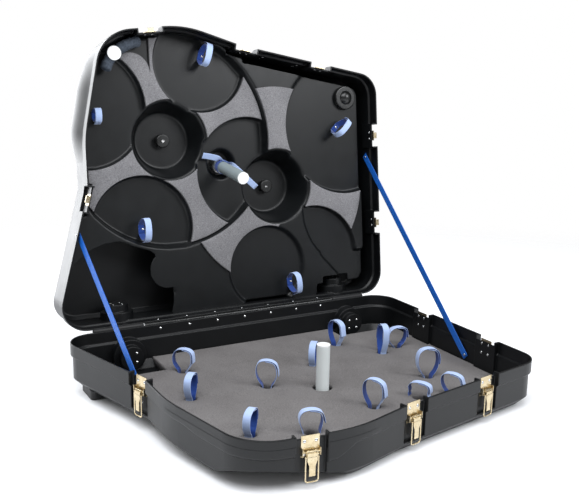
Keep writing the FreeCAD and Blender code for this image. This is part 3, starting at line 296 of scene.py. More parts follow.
# Flat woven polypropylene: ribs across the strap; its colour is painted light, a lit blue on the filament as
# painted sheen and a shaded blue in the gaps between the picks as painted shade.
def wovenWebbing(name, spec):
    finish, tree, shader, place = newFinish(name)
    # a wave texture repeats about pi times in one unit
    across = addNode(tree, "TexWave", {"bands_direction": "X"}, {
        "Vector": place["UV"], "Scale": 1000 / spec["pickMm"] / math.pi, "Distortion": 0.4, "Detail": 1.0})
    along = addNode(tree, "TexWave", {"bands_direction": "Y"}, {
        "Vector": place["UV"], "Scale": 1000 / spec["endMm"] / math.pi, "Distortion": 0.2})
    weave = addNode(tree, "Mix", {"data_type": "FLOAT"}, {
        0: 0.5, 2: across.outputs["Fac"], 3: along.outputs["Fac"]})
    # painted sheen and shade: the weave mixes the strap's shaded blue (dark) with its lit blue (pale)
    tone = addNode(tree, "Mix", colourMix, {
        0: weave.outputs[0], 6: linear(spec["dark"]), 7: linear(spec["pale"])})
    bump = addNode(tree, "Bump", {}, {
        "Height": weave.outputs[0], "Strength": 0.5, "Distance": spec["ribMm"] / 1000})
    feed(tree, shader, {"Base Color": tone.outputs[2], "Normal": bump.outputs[0], "Roughness": 0.45})
    return finish


# Pressed sheet steel, plated: a bright even metal, clouded by the bath and finely scratched in use.
def platedSteel(name, spec):
    finish, tree, shader, place = newFinish(name)
    bath = addNode(tree, "TexNoise", {}, {
        "Vector": place["Object"], "Scale": 1000 / spec["cloudMm"], "Detail": 3.0})
    tone = addNode(tree, "Mix", colourMix, {
        0: bath.outputs["Fac"], 6: linear(spec["dark"]), 7: linear(spec["pale"])})
    scuff = addNode(tree, "TexNoise", {}, {
        "Vector": place["Object"], "Scale": 1000 / spec["scuffMm"], "Detail": 8.0, "Roughness": 0.7})
    rough = addNode(tree, "MapRange", {}, {
        "Value": scuff.outputs["Fac"], "From Min": 0.3, "From Max": 0.7,
        "To Min": spec["rough"][0], "To Max": spec["rough"][1]})
    edge = addNode(tree, "Bevel", {"samples": 6}, {"Radius": spec["edgeMm"] / 1000})
    feed(tree, shader, {"Base Color": tone.outputs[2], "Roughness": rough.outputs[0],
                        "Normal": edge.outputs[0], "Metallic": 1.0})
    return finish


# extruded PVC tube: almost no grain, so its light runs in long clean lines
tubeSpec = {"rough": (0.32, 0.42), "grainMm": 3.0, "cloudMm": 60, "bump": 0.03, "edgeMm": 1.0, "ior": 1.53}
finishes = {
    # thermoformed ABS with a hair-cell grain, drawn coarser than its real 0.6 mm so that it shows
    "shellAbs": mouldedPlastic("thermoformedAbsHairCell", {
        "dark": "#08090a", "pale": "#0f1113", "rough": (0.38, 0.42), "grainMm": 1.6, "cloudMm": 60,
        "bump": 0.2, "edgeMm": 4.5, "ior": 1.42}),
    "linerAbs": mouldedPlastic("thermoformedAbsLiner", {
        "dark": "#08090a", "pale": "#0f1214", "rough": (0.36, 0.41), "grainMm": 1.6, "cloudMm": 50,
        "bump": 0.22, "edgeMm": 1.0, "ior": 1.42}),
    # injection moulded nylon: smoother than the shells, so its highlights are smaller and brighter
    "blackNylon": mouldedPlastic("mouldedNylonBlack", {
        "dark": "#0f1010", "pale": "#191a1a", "rough": (0.25, 0.36), "grainMm": 1.2, "cloudMm": 20,
        "bump": 0.08, "edgeMm": 1.2, "ior": 1.53}),
    # moulded rubber: dull, with wide soft highlights
    "footRubber": mouldedPlastic("mouldedRubberFoot", {
        "dark": "#131314", "pale": "#232324", "rough": (0.55, 0.7), "grainMm": 2.0, "cloudMm": 25,
        "bump": 0.2, "edgeMm": 3.0, "ior": 1.52}),
    # cast urethane: a smooth dark grey tread
    "tyreUrethane": mouldedPlastic("castUrethaneTyre", {
        "dark": "#2b2c2e", "pale": "#3a3b3d", "rough": (0.4, 0.55), "grainMm": 1.5, "cloudMm": 12,
        "bump": 0.1, "edgeMm": 1.5, "ior": 1.5}),
    "polePvc": mouldedPlastic("extrudedPvcPaleGrey", {"dark": "#ccd2d2", "pale": "#dbe0df", **tubeSpec}),
    "poleGreyPvc": mouldedPlastic("extrudedPvcGrey", {"dark": "#7c8789", "pale": "#8d989a", **tubeSpec}),
    # moulded polyethylene: a soft waxy white
    "whiteCap": mouldedPlastic("mouldedPolyethyleneWhite", {
        "dark": "#e6e8e8", "pale": "#f2f3f2", "rough": (0.3, 0.42), "grainMm": 2.0, "cloudMm": 15,
        "bump": 0.04, "edgeMm": 1.2, "ior": 1.5}),
    # foam cells are drawn coarser than the real ones, which are too fine to show
    "matFoam": cutFoam("closedCellFoamMat", {
        "dark": "#595756", "pale": "#8b8888", "worn": "#c8c6c6",
        "cellMm": 1.6, "fleckMm": 2.6, "mottleMm": 120, "bump": 0.5}),
    "padFoam": cutFoam("closedCellFoamPad", {
        "dark": "#5a5a5b", "pale": "#98979a", "worn": "#d4d4d6",
        "cellMm": 1.8, "fleckMm": 3.2, "mottleMm": 80, "bump": 0.55}),
    "rollFoam": cutFoam("extrudedFoamTube", {
        "dark": "#343b45", "pale": "#5d6672", "worn": "#a3a9b0",
        "cellMm": 1.5, "fleckMm": 6.0, "mottleMm": 30, "bump": 0.3}),
    "tieStrap": hookAndLoop("nylonHookAndLoop", {
        "pileDark": "#7f99cb", "pilePale": "#bccdec", "hookDark": "#062a70", "hookPale": "#0c4296",
        "pileMm": 1.4, "napMm": 0.6}),
    # painted light: dark is the strap's shaded blue and pale its lit blue, mixed by the weave
    "stayWebbing": wovenWebbing("wovenPolypropyleneBlue", {
        "dark": "#0a439a", "pale": "#2176dc", "pickMm": 2.4, "endMm": 2.0, "ribMm": 0.5}),
    # zinc plate passivated to a pale straw colour
    "latchSteel": platedSteel("yellowZincSteel", {
        "dark": "#b5a178", "pale": "#eddfc0", "rough": (0.22, 0.38),
        "cloudMm": 14, "scuffMm": 5, "edgeMm": 0.8}),
    "zincSteel": platedSteel("brightZincSteel", {
        "dark": "#a9abac", "pale": "#d2d3d3", "rough": (0.2, 0.36),
        "cloudMm": 14, "scuffMm": 5, "edgeMm": 0.6}),
    # aluminium polished in a drum: the palest metal here
    "rivetAlloy": platedSteel("tumbledAluminium", {
        "dark": "#cfd1d2", "pale": "#eceded", "rough": (0.18, 0.3),
        "cloudMm": 6, "scuffMm": 3, "edgeMm": 0.4}),
}
print("finishes made:", len(finishes))

# which finish each CAD node takes
nodeFinish = {
    "shellAbs": ["base_shell", "lid_shell"],
    "footRubber": ["base_feet"],
    "blackNylon": ["base_pole_socket", "base_castor_plates", "lid_castor_plates", "hub_bosses",
                   "corner_bumper", "handle_brackets", "carry_handle", "hinge_base_leaf", "hinge_lid_leaf"],
    "polePvc": ["base_pole"],
    "poleGreyPvc": ["lid_pole"],
    "whiteCap": ["base_pole_cap", "lid_pole_cap", "corner_plug"],
    "zincSteel": ["lid_pole_collar", "hinge_pin"],
    "latchSteel": ["latch_plates", "latch_pins", "catch_plates"],
    "rivetAlloy": ["hinge_base_rivets", "hinge_lid_rivets", "latch_rivets", "lid_wall_rivets",
                   "base_castor_rivets", "lid_castor_rivets", "lid_strap_rivets", "base_stay_rivets",
                   "lid_stay_rivets"],
}
nodeFinish["latchSteel"] += [f"{kind}_{k}" for k in range(1, 7) for kind in ("latch_lever", "latch_bail")]
nodeFinish["blackNylon"] += [f"castor_fork_{k}" for k in range(1, 5)]
nodeFinish["tyreUrethane"] = [f"castor_wheel_{k}" for k in range(1, 5)]
for finishName, names in nodeFinish.items():
    for name in names:
        nodes[name].data.materials.clear()
        nodes[name].data.materials.append(finishes[finishName])

# camera at the photograph's place, in metres
lens = {"place": (-1.07965, -1.95897, 0.83552), "right": (0.87586, -0.48258, 0.0),
        "up": (0.08634, 0.15672, 0.98386), "forward": (0.47479, 0.86172, -0.17893),
        "mm": 49.90, "sensorMm": 36.0, "clip": (0.05, 60.0)}
eye = bpy.data.objects.new("eye", bpy.data.cameras.new("eye"))
scene.collection.objects.link(eye)
eye.data.lens = lens["mm"]
eye.data.sensor_width = lens["sensorMm"]
setPlace(eye, lens["right"], lens["up"], -np.array(lens["forward"]), lens["place"])
eye.data.clip_start, eye.data.clip_end = lens["clip"]
scene.camera = eye

# floor, light and white surroundings; each lamp has its side in metres, watts and place
studio = {"floorReach": 4.5, "fadeFrom": 1.6, "fadeTo": 3.6, "floor": "#f4f5f7",
          "sky": "#ffffff", "fill": 0.5, "mirrored": 0.16, "lampTint": "#fafcff", "aim": (0.0, 0.1, 0.4),
          "lamps": {"softbox": (3.2, 150.0, (-1.0, -1.2, 3.4)), "backLight": (3.2, 190.0, (-1.5, 3.5, 1.3)),
                    "frontLight": (1.5, 75.0, (1.9, -2.6, 2.3))}}
paper = bpy.data.materials.new("matWhitePaper")
paper.use_nodes = True
paperTree = paper.node_tree
paperTree.nodes.clear()
# matt paper that thins out to the white surroundings with distance from the middle
paperPlace = addNode(paperTree, "TexCoord").outputs
fromMiddle = addNode(paperTree, "VectorMath", {"operation": "LENGTH"}, {0: paperPlace["Object"]})
fade = addNode(paperTree, "MapRange", {"interpolation_type": "SMOOTHSTEP"}, {
    "Value": fromMiddle.outputs["Value"], "From Min": studio["fadeFrom"], "From Max": studio["fadeTo"]})
matt = addNode(paperTree, "BsdfDiffuse", {}, {"Color": linear(studio["floor"])})
clear = addNode(paperTree, "BsdfTransparent")
mixed = addNode(paperTree, "MixShader", {}, {
    0: fade.outputs[0], 1: matt.outputs[0], 2: clear.outputs[0]})
addNode(paperTree, "OutputMaterial", links={"Surface": mixed.outputs[0]})
floorPoints = np.array([[-1, -1, 0], [1, -1, 0], [1, 1, 0], [-1, 1, 0]]) * studio["floorReach"]
floor = makePiece("floor", floorPoints, [[0, 1, 2, 3]], paper)

# surroundings: white to the eye, dimmer as light on the case, dimmer still in its gloss
world = bpy.data.worlds.new("whiteStudio")
scene.world = world
world.use_nodes = True
worldTree = world.node_tree
worldTree.nodes.clear()
path = addNode(worldTree, "LightPath")
dim = addNode(worldTree, "MapRange", {}, {
    "Value": path.outputs["Is Glossy Ray"], "To Min": studio["fill"], "To Max": studio["mirrored"]})
bright = addNode(worldTree, "MapRange", {}, {
    "Value": path.outputs["Is Camera Ray"], "To Min": dim.outputs[0], "To Max": 1.0})
sky = addNode(worldTree, "Background", {}, {
    "Color": linear(studio["sky"]), "Strength": bright.outputs[0]})
addNode(worldTree, "OutputWorld", links={"Surface": sky.outputs[0]})

# each lamp is turned to the middle of the case
for name, (lampSide, watts, spot) in studio["lamps"].items():
    light = bpy.data.lights.new(name, "AREA")
    light.energy, light.size = watts, lampSide
    light.color = linear(studio["lampTint"])[:3]
    lamp = bpy.data.objects.new(name, light)
    scene.collection.objects.link(lamp)
    lamp.visible_camera = False
    z = np.array(spot) - studio["aim"]
    z /= np.linalg.norm(z)
    x = np.cross([0, 0, 1], z)
    x /= np.linalg.norm(x)
    setPlace(lamp, x, np.cross(z, x), z, spot)
scene.view_settings.view_transform = "Standard"
print("camera, floor and light set")

# Foam cut from sheet: how its plan is read off the CAD node and meshed, in mm and radians.
foam = {"flatMm": 0.05, "perMm": 200, "sharpTurn": 0.45, "roomShare": 0.8, "miterLeast": 0.25,
        "footStepMm": 2.0, "marginShare": 0.6, "underMm": 60, "underMarginMm": 30, "weldMm": 0.05,
        "ripple": {"xMm": 41, "shift": 1.3, "yMm": 57, "slantMm": 83, "slantX": 0.8, "slantShare": 0.6,
                   "calmMm": 30}}


# rim edges of a node's flat face at one level, chained into loops: seen from above, the outer one runs
# anticlockwise and holes run clockwise
def planLoops(name, local, level):
    points = local(nodePoints(name))
    flat = np.abs(points[:, 2] - level) < foam["flatMm"]
    spots, index = np.unique(np.round(points[:, :2] * foam["perMm"]), axis=0, return_inverse=True)
    tris = faceCorners(nodes[name].data).reshape(-1, 3)
    after = dict(openEdges(index.ravel()[tris[flat[tris].all(1)]]))
    loops = []
    while after:
        start = next(iter(after))
        ring = [start]
        nextSpot = after.pop(start)
        while nextSpot != start and nextSpot in after:
            ring.append(nextSpot)
            nextSpot = after.pop(nextSpot)
        loops.append(spots[ring] / foam["perMm"])
    return loops


# evenly spaced points along a loop, with its sharp corners kept; also how far each may be drawn in
def evenLoop(ring, step, most):
    before, ahead = ring - np.roll(ring, 1, 0), np.roll(ring, -1, 0) - ring
    turnBy = np.arctan2(before[:, 0] * ahead[:, 1] - before[:, 1] * ahead[:, 0], (before * ahead).sum(1))
    sharp = np.flatnonzero(np.abs(turnBy) > foam["sharpTurn"])
    if len(sharp):
        ring, turnBy = np.roll(ring, -sharp[0], 0), np.roll(turnBy, -sharp[0])
        sharp = np.flatnonzero(np.abs(turnBy) > foam["sharpTurn"])
    closed = np.vstack([ring, ring[:1]])
    run = distanceRun(closed)
    stops = np.append(run[sharp], run[-1]) if len(sharp) else np.array([0, run[-1]])
    marks = np.concatenate([np.linspace(a, b, max(2, int(round((b - a) / step))), endpoint=False)
                            for a, b in zip(stops, stops[1:])])
    room = np.full(len(marks), most)
    for k in sharp[turnBy[sharp] > foam["sharpTurn"]]:
        away = np.abs(marks - run[k])
        away = np.minimum(away, run[-1] - away)
        room = np.minimum(room, foam["roomShare"] * away * math.tan((math.pi - turnBy[k]) / 2))
    return atMarks(closed, run, marks), room


# miter at each point of a loop, into the material: the two edge normals' sum over one plus their product
def inwardMiter(points):
    ahead = np.roll(points, -1, 0) - points
    ahead /= np.maximum(np.linalg.norm(ahead, axis=1, keepdims=True), 1e-9)
    normal = np.stack([-ahead[:, 1], ahead[:, 0]], 1)
    last = np.roll(normal, 1, 0)
    return (normal + last) / np.maximum(1 + (normal * last).sum(1), foam["miterLeast"])[:, None]


# even-odd rule: a point is inside where a ray to the right crosses the loops an odd number of times
def insideLoops(points, loops):
    inside = np.zeros(len(points), bool)
    for ring in loops:
        a, b = ring, np.roll(ring, -1, 0)
        px, py = points[:, :1], points[:, 1:2]
        cross = (a[:, 1] > py) != (b[:, 1] > py)
        with np.errstate(divide="ignore", invalid="ignore"):
            at = a[:, 0] + (py - a[:, 1]) * (b[:, 0] - a[:, 0]) / (b[:, 1] - a[:, 1])
        inside ^= (cross & (px < at)).sum(1) % 2 == 1
    return inside


# grid points between two corners, every other row shifted by half a step
def staggered(low, high, step, rowStep):
    gx, gy = np.meshgrid(np.arange(low[0], high[0], step), np.arange(low[1], high[1], rowStep))
    gx[1::2] += step / 2
    return np.stack([gx.ravel(), gy.ravel()], 1)


# distance from each point to the nearest point of a rim
def gapTo(points, rim):
    return np.sqrt(((points[:, None] - rim[None]) ** 2).sum(-1).min(1))


# Delaunay triangles over points in plan, with the given edges kept
def triangulated(points, edges):
    spots, _, tris, _, _, _ = delaunay_2d_cdt([tuple(p) for p in points], edges, [], 0, 1e-6)
    return np.array([tuple(p) for p in spots]), np.array(tris)


# triangles of the plan between loops, with more points strewn on a grid inside
def fillPlan(loops, spacing, margin):
    rim = np.vstack(loops)
    strewn = staggered(rim.min(0), rim.max(0), spacing, spacing)
    strewn = strewn[insideLoops(strewn, loops)]
    strewn = strewn[gapTo(strewn, rim) > margin]
    first = np.cumsum([0] + [len(ring) for ring in loops])
    edges = [(int(f + k), int(f + (k + 1) % len(ring)))
             for f, ring in zip(first, loops) for k in range(len(ring))]
    spots, tris = triangulated(np.vstack([rim, strewn]), edges)
    return spots, tris[insideLoops(spots[tris].mean(1), loops)]


# area of the upright box round a loop
def boxArea(ring):
    return np.ptp(ring, axis=0).prod()


# a plan lifted to a height
def atHeight(plan, z):
    return np.column_stack([plan, np.broadcast_to(z, len(plan))])


# Foam plate: side wall, edge rolled over on a quarter circle, then a face that rises a little to its middle.
def foamPlate(name, node, local, back, level, spec, finish):
    loops = planLoops(node, local, level)
    made = [evenLoop(ring, spec["stepMm"], spec["rollMm"]) for ring in loops if len(ring) > 2]
    bottom = level - spec["thickMm"]
    widest = max(range(len(made)), key=lambda k: boxArea(made[k][0]))
    points, faces, count, topLoops, under = [], [], 0, [], []
    for k, (ring, room) in enumerate(made):
        foot = ring
        if k == widest and spec["uprightMm"] < spec["thickMm"]:
            # under its upright edge the plate leans to its lower rim
            lower, _ = evenLoop(max(planLoops(node, local, bottom), key=boxArea), foam["footStepMm"], 0.0)
            foot = lower[((ring[:, None] - lower[None]) ** 2).sum(-1).argmin(1)]
        under.append(foot)
        rows = [atHeight(foot, bottom)]
        if foot is not ring:
            rows.append(atHeight(ring, level - spec["uprightMm"]))
        miter = inwardMiter(ring)
        for a in np.linspace(0, math.pi / 2, spec["rollSteps"]):
            drawn = ring + miter * (room * (1 - math.cos(a)))[:, None]
            rows.append(atHeight(drawn, level - room * (1 - math.sin(a))))
        points.append(np.vstack(rows))
        faces += gridFaces(len(rows), len(ring), wrapCols=True, first=count)
        topLoops.append(rows[-1][:, :2])
        count += len(rows) * len(ring)
    # the face swells away from its rim and ripples gently
    spots, tris = fillPlan(topLoops, spec["spacingMm"], spec["spacingMm"] * foam["marginShare"])
    gap = gapTo(spots, np.vstack(topLoops))
    x, y = spots.T
    ripple = foam["ripple"]
    wave = (np.sin(x / ripple["xMm"] + ripple["shift"]) * np.sin(y / ripple["yMm"])
            + ripple["slantShare"] * np.sin((x * ripple["slantX"] + y) / ripple["slantMm"]))
    wave *= spec["waveMm"] * (1 - np.exp(-gap / ripple["calmMm"]))
    swollen = spec["crownMm"] * (1 - np.exp(-gap / spec["crownReachMm"]))
    points.append(atHeight(spots, level + swollen + wave))
    faces += (tris + count).tolist()
    count += len(spots)
    spots, tris = fillPlan(under, foam["underMm"], foam["underMarginMm"])
    points.append(atHeight(spots, bottom))
    faces += (tris[:, ::-1] + count).tolist()
    piece = makePiece(name, back(np.vstack(points)), faces, finish)
    weld = piece.modifiers.new("weld", "WELD")
    weld.merge_threshold = foam["weldMm"] / 1000
    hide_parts(node)
    print(name, "made,", len(loops), "loops,", len(piece.data.polygons), "faces")
    return piece


matSpec = {"topMm": -98.0, "stepMm": 6, "rollMm": 5.0, "rollSteps": 5, "thickMm": 27.5, "uprightMm": 5.2,
           "spacingMm": 14, "crownMm": 0.8, "crownReachMm": 30, "waveMm": 0.7}
floorMat = foamPlate("floorMat", "floor_foam", offBase, onBase, matSpec["topMm"], matSpec,
                     finishes["matFoam"])
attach(floorMat, "base")

# the pads lie on two levels of the lid's panel
padSpec = {"levelMm": {"rearWheelPads": 66.0, "frontWheelPads": 46.0}, "stepMm": 4, "rollMm": 2.6,
           "rollSteps": 5, "thickMm": 9.0, "uprightMm": 9.0, "spacingMm": 9, "crownMm": 1.2,
           "crownReachMm": 12, "waveMm": 0.25}
for name, panel in padSpec["levelMm"].items():
    pads = foamPlate(name, "wheel_pads", lidUp, fromLidUp, padSpec["thickMm"] - panel, padSpec,
                     finishes["padFoam"])
    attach(pads, "lid")

# Lid liner: the CAD form read as heights on a fine raster, then blurred so that every fold is round, as in
# sheet drawn warm. Blur reaches are in raster steps; edge and inner are shares of cover at its rim.
linerSpec = {"rasterMm": 2.0, "marginMm": 30, "softMm": 3.4, "spreadSteps": 3.0, "steepSteps": 1.5,
             "skirtSteps": 1.2, "fineMm": 3.4, "coarseMm": 11.0, "rowShare": 0.866, "steep": 0.05,
             "edge": 0.12, "inner": 0.97, "leastCover": 1e-3, "thickMm": 2.5}


# weights of a bell curve, gathered by shifting the raster along each way in turn
def blurred(raster, reach):
    taps = int(3 * reach + 1)
    weights = np.exp(-0.5 * (np.arange(-taps, taps + 1) / reach) ** 2)
    for axis in (0, 1):
        raster = sum(w * np.roll(raster, k - taps, axis) for k, w in enumerate(weights)) / weights.sum()
    return raster


# height where a ray straight down at each raster point first meets the node
def heightRaster(name, step, margin):
    points = lidUp(nodePoints(name))
    form = BVHTree.FromPolygons(points.tolist(), faceCorners(nodes[name].data).reshape(-1, 3).tolist())
    low, high = points.min(0) - margin, points.max(0) + margin
    xs, ds = np.arange(low[0], high[0], step), np.arange(low[1], high[1], step)
    heights = np.full((len(xs), len(ds)), np.nan)
    for i, x in enumerate(xs):
        for j, d in enumerate(ds):
            spot = form.ray_cast((x, d, high[2]), (0, 0, -1))[0]
            if spot is not None:
                heights[i, j] = spot[2]
    return xs, ds, heights


# value of a raster between its four nearest samples
def readRaster(raster, xs, ds, spots):
    step = xs[1] - xs[0]
    u, v = (spots[:, 0] - xs[0]) / step, (spots[:, 1] - ds[0]) / step
    i, j = np.clip(u.astype(int), 0, len(xs) - 2), np.clip(v.astype(int), 0, len(ds) - 2)
    u, v = u - i, v - j
    return ((raster[i, j] * (1 - u) + raster[i + 1, j] * u) * (1 - v)
            + (raster[i, j + 1] * (1 - u) + raster[i + 1, j + 1] * u) * v)


xs, ds, heights = heightRaster("lid_liner", linerSpec["rasterMm"], linerSpec["marginMm"])
formed = ~np.isnan(heights)
lowest = np.nanmin(heights)
# a wide blur carries the heights past the edge and over the skewer holes before the fine one rounds the folds
cover = blurred(formed.astype(float), linerSpec["spreadSteps"])
spread = blurred(np.where(formed, heights, 0.0), linerSpec["spreadSteps"]) / np.maximum(cover, 1e-6)
heights = np.where(formed, heights, np.where(cover > linerSpec["leastCover"], spread, lowest))
soft = blurred(heights, linerSpec["softMm"] / linerSpec["rasterMm"])
slopeX, slopeD = np.gradient(soft, linerSpec["rasterMm"])
steep = blurred(np.hypot(slopeX, slopeD), linerSpec["steepSteps"])
skirt = blurred(formed.astype(float), linerSpec["skirtSteps"])
# points lie close where the form is steep or ends, and wide apart on the flats
strewn = []
for spacing, isFine in ((linerSpec["fineMm"], True), (linerSpec["coarseMm"], False)):
    spots = staggered((xs[0], ds[0]), (xs[-1], ds[-1]), spacing, spacing * linerSpec["rowShare"])
    spots = spots[(spots[:, 0] < xs[-1]) & (readRaster(skirt, xs, ds, spots) > linerSpec["edge"])]
    nearRim = readRaster(skirt, xs, ds, spots) < linerSpec["inner"]
    isSteep = (readRaster(steep, xs, ds, spots) > linerSpec["steep"]) | nearRim
    strewn.append(spots[isSteep == isFine])
spots, tris = triangulated(np.vstack(strewn), [])
tris = tris[readRaster(skirt, xs, ds, spots[tris].mean(1)) > linerSpec["edge"]]
face = np.column_stack([spots, readRaster(soft, xs, ds, spots)])
count = len(face)
rimFaces = [[b, a, a + count, b + count] for a, b in openEdges(tris)]
linerFaces = tris.tolist() + (tris[:, ::-1] + count).tolist() + rimFaces
linerPoints = np.vstack([face, face - [0, 0, linerSpec["thickMm"]]])
liner = makePiece("lidLiner", fromLidUp(linerPoints), linerFaces, finishes["linerAbs"])
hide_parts("lid_liner")
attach(liner, "lid")
print("lidLiner made,", len(liner.data.polygons), "faces")

# Foam roll bent into the corner: a tube on an arc with round ends, its skin folded inside the bend.
roll = {"path": [(-61, 771), (-44, 805), (-16, 834), (17, 852), (54, 863)], "level": 49.0, "radius": 16.8,
        "perSpan": 34, "cols": 40, "endShare": 0.6, "tip": 0.002, "fold": 0.045, "pleatMm": 2.7,
        "pleatSway": 0.8, "pleat": 0.6, "pleatInside": 0.4, "wrinkleMm": 7, "wrinkle": 0.5}
rollLine = smoothLine(roll["path"], roll["perSpan"])
rollWay = tangents(rollLine)
aside = np.column_stack([rollWay[:, 1], -rollWay[:, 0]])
run = distanceRun(rollLine)[:, None]
around = np.linspace(0, 2 * math.pi, roll["cols"], endpoint=False)[None, :]
toEnd = np.minimum(run, run[-1] - run) / (roll["endShare"] * roll["radius"])
taper = np.sqrt(np.maximum(1 - np.clip(1 - toEnd, 0, 1) ** 2, 0.0)) + roll["tip"]
pleats = np.sin(run / roll["pleatMm"] + roll["pleatSway"] * np.sin(around))
pleats = pleats * (roll["pleat"] - roll["pleatInside"] * np.cos(around))
wrinkles = roll["wrinkle"] * np.sin(run / roll["wrinkleMm"] + 2 * around)
thick = roll["radius"] * taper * (1 + roll["fold"] * (pleats + wrinkles))
tube = np.concatenate([rollLine[:, None] + aside[:, None] * (thick * np.cos(around))[..., None],
                       (-roll["level"] + thick * np.sin(around))[..., None]], -1)
rollFaces = gridFaces(len(rollLine), roll["cols"], wrapCols=True)
rollFaces += [cap[::-1] for cap in endCaps(len(rollLine), roll["cols"])]
cornerRoll = makePiece("cornerRoll", fromLidUp(tube.reshape(-1, 3)), rollFaces, finishes["rollFoam"])
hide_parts("corner_roll")
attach(cornerRoll, "lid")
print("cornerRoll made,", len(cornerRoll.data.polygons), "faces")

# Formed skins on the shell walls follow these circles of the outline: middle x and d, radius.
bulge, nose, crown = (254, 530, 400), (22, 768, 122), (150, 573, 330)
arcSteps = 40


# arcs joined by straight runs, then spaced evenly: points and outward normals in plan
def outlineRun(arcs, step):
    points, normals = [], []
    for (x, d, r), start, end in arcs:
        a = np.radians(np.linspace(start, end, arcSteps))
        normals.append(np.column_stack([np.cos(a), np.sin(a)]))
        points.append(np.array([x, d]) + r * normals[-1])
    points, normals = np.vstack(points), np.vstack(normals)
    run = distanceRun(points)
    marks = np.linspace(0, run[-1], int(run[-1] / step))
    return atMarks(points, run, marks), unitRows(atMarks(normals, run, marks)), marks


# Skin: each column of the profile is a height and how far it stands out of the outline, both along the wall.
def wallSkin(name, points, normals, heights, standOut, back, finish, body):
    plan = points[:, None] + normals[:, None] * standOut[..., None]
    grid = np.stack([plan[..., 0], -plan[..., 1], np.broadcast_to(heights, standOut.shape)], -1)
    rows, cols = standOut.shape
    faces = np.array(gridFaces(rows, cols))
    flat = grid.reshape(-1, 3)
    middle = faces[len(faces) // 2]
    facing = np.cross(flat[middle[1]] - flat[middle[0]], flat[middle[3]] - flat[middle[0]])
    outward = np.append(normals[rows // 2] * [1, -1], 0)
    faces = faces if facing @ outward > 0 else faces[:, ::-1]
    piece = makePiece(name, back(flat), faces.tolist(), finish)
    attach(piece, body)
    print(name, "made,", len(piece.data.polygons), "faces")
    return piece


# The base's rim band drops to a deeper line on both sides of the front latch. Each span has its arcs, its
# depth beside the latch, and how far along the run it is shallow and deep.
band = {"usual": 35.0, "slope": 6.0, "slopeSteps": 8, "step": 7.0, "proud": 0.5, "top": 22.0,
        "flatTo": 4.0, "roundFrom": 1.5, "roundBy": 0.1, "dropBy": 0.5, "below": 3.0, "spacing": 3.0,
        "spans": {
            "baseDeepBandLeft": ([(bulge, 175, 167.6), (nose, 167.6, 96.4), ((45, 771, 122), 96.4, 96.3)],
                                 43.0, 70, 150),
            "baseDeepBandRight": ([((123.8, 779.4, 122), 96.4, 96.3), (crown, 95.8, 70)], 66.0, 90, 10)}}
for name, (arcs, deepest, shallow, deep) in band["spans"].items():
    points, normals, run = outlineRun(arcs, band["spacing"])
    drop = smoothStep(run, min(shallow, deep), max(shallow, deep))
    depth = band["usual"] + (deepest - band["usual"]) * (drop if deep > shallow else 1 - drop)
    share = np.linspace(0, 1, band["slopeSteps"])[None, :]
    upper = np.column_stack([0 * depth + band["top"], depth - band["flatTo"], depth - band["roundFrom"]])
    slope = depth[:, None] + share * band["slope"]
    heights = -np.hstack([upper, slope, slope[:, -1:] + band["below"]])
    flush = np.full((len(run), 2), band["proud"])
    inward = flush[:, :1] - band["dropBy"] - band["step"] * share
    proud = np.hstack([flush, flush[:, :1] - band["roundBy"], inward, inward[:, -1:]])
    # the deep end, beside the latch, folds back to the wall
    last, spot = (-1, len(run)) if deep > shallow else (0, 0)
    points, normals, heights = (np.insert(v, spot, v[last], 0) for v in (points, normals, heights))
    proud = np.insert(proud, spot, -band["step"] - 1, 0)
    wallSkin(name, points, normals, heights, proud, onBase, finishes["shellAbs"], "base")

# The lid's side swells out behind its rim band, most at four fifths of its wall, and fades out at both ends.
swell = {"arcs": [(bulge, 188, 167.6), (nose, 167.6, 118)], "spacing": 4.0, "most": 20.0, "sunk": -5.6,
         "from": 38.0, "wall": 138.0, "roof": 156.0, "toe": 17.0, "wallSteps": 24, "roofSteps": 7,
         "grows": (10, 130), "fades": (240, -30), "arch": 0.62, "archPower": 1.2, "roofStand": (0.92, 0.2)}
points, normals, run = outlineRun(swell["arcs"], swell["spacing"])
growth = smoothStep(run, *swell["grows"])
growth *= 1 - smoothStep(run, swell["fades"][0], run[-1] + swell["fades"][1])
rise = np.linspace(0, 1, swell["wallSteps"])
heights = np.concatenate([swell["from"] + rise * (swell["wall"] - swell["from"]),
                          np.linspace(swell["wall"], swell["roof"], swell["roofSteps"])[1:]])
stand = np.concatenate([np.sin(rise * math.pi * swell["arch"]) ** swell["archPower"],
                        np.linspace(*swell["roofStand"], swell["roofSteps"] - 1)])
toeIn = np.concatenate([0 * rise, np.linspace(0, swell["toe"], swell["roofSteps"])[1:]])
proud = swell["sunk"] - toeIn[None, :] + swell["most"] * growth[:, None] * stand[None, :]
wallSkin("lidSideSwell", points, normals, heights, proud, onLid, finishes["shellAbs"], "lid")

# soft rubber strips that close the gap between the rims beyond both ends of the hinge
seal = {"radius": 7.0, "out": 1.5, "endNarrower": 0.35, "rows": 30, "cols": 20,
        "spans": ((-160.0, -3.0), (675.0, 800.0))}
strips, sealFaces = [], []
around = np.linspace(0, 2 * math.pi, seal["cols"], endpoint=False)[None, :]
for k, (start, end) in enumerate(seal["spans"]):
    x = np.linspace(start, end, seal["rows"])[:, None]
    r = seal["radius"] * (1 - seal["endNarrower"] * (np.minimum(x - start, end - x) < 1))
    strip = np.stack([x + 0 * around, seal["out"] + r * np.cos(around), r * np.sin(around)], -1)
    strips.append(strip.reshape(-1, 3))
    first = k * seal["rows"] * seal["cols"]
    sealFaces += gridFaces(seal["rows"], seal["cols"], wrapCols=True, first=first)
    sealFaces += endCaps(seal["rows"], seal["cols"], first)
sealFaces = [f[::-1] for f in sealFaces]
rimSeals = makePiece("hingeEndSeals", onBase(np.vstack(strips)), sealFaces, finishes["footRubber"])
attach(rimSeals, "base")
print("hingeEndSeals made,", len(sealFaces), "faces")


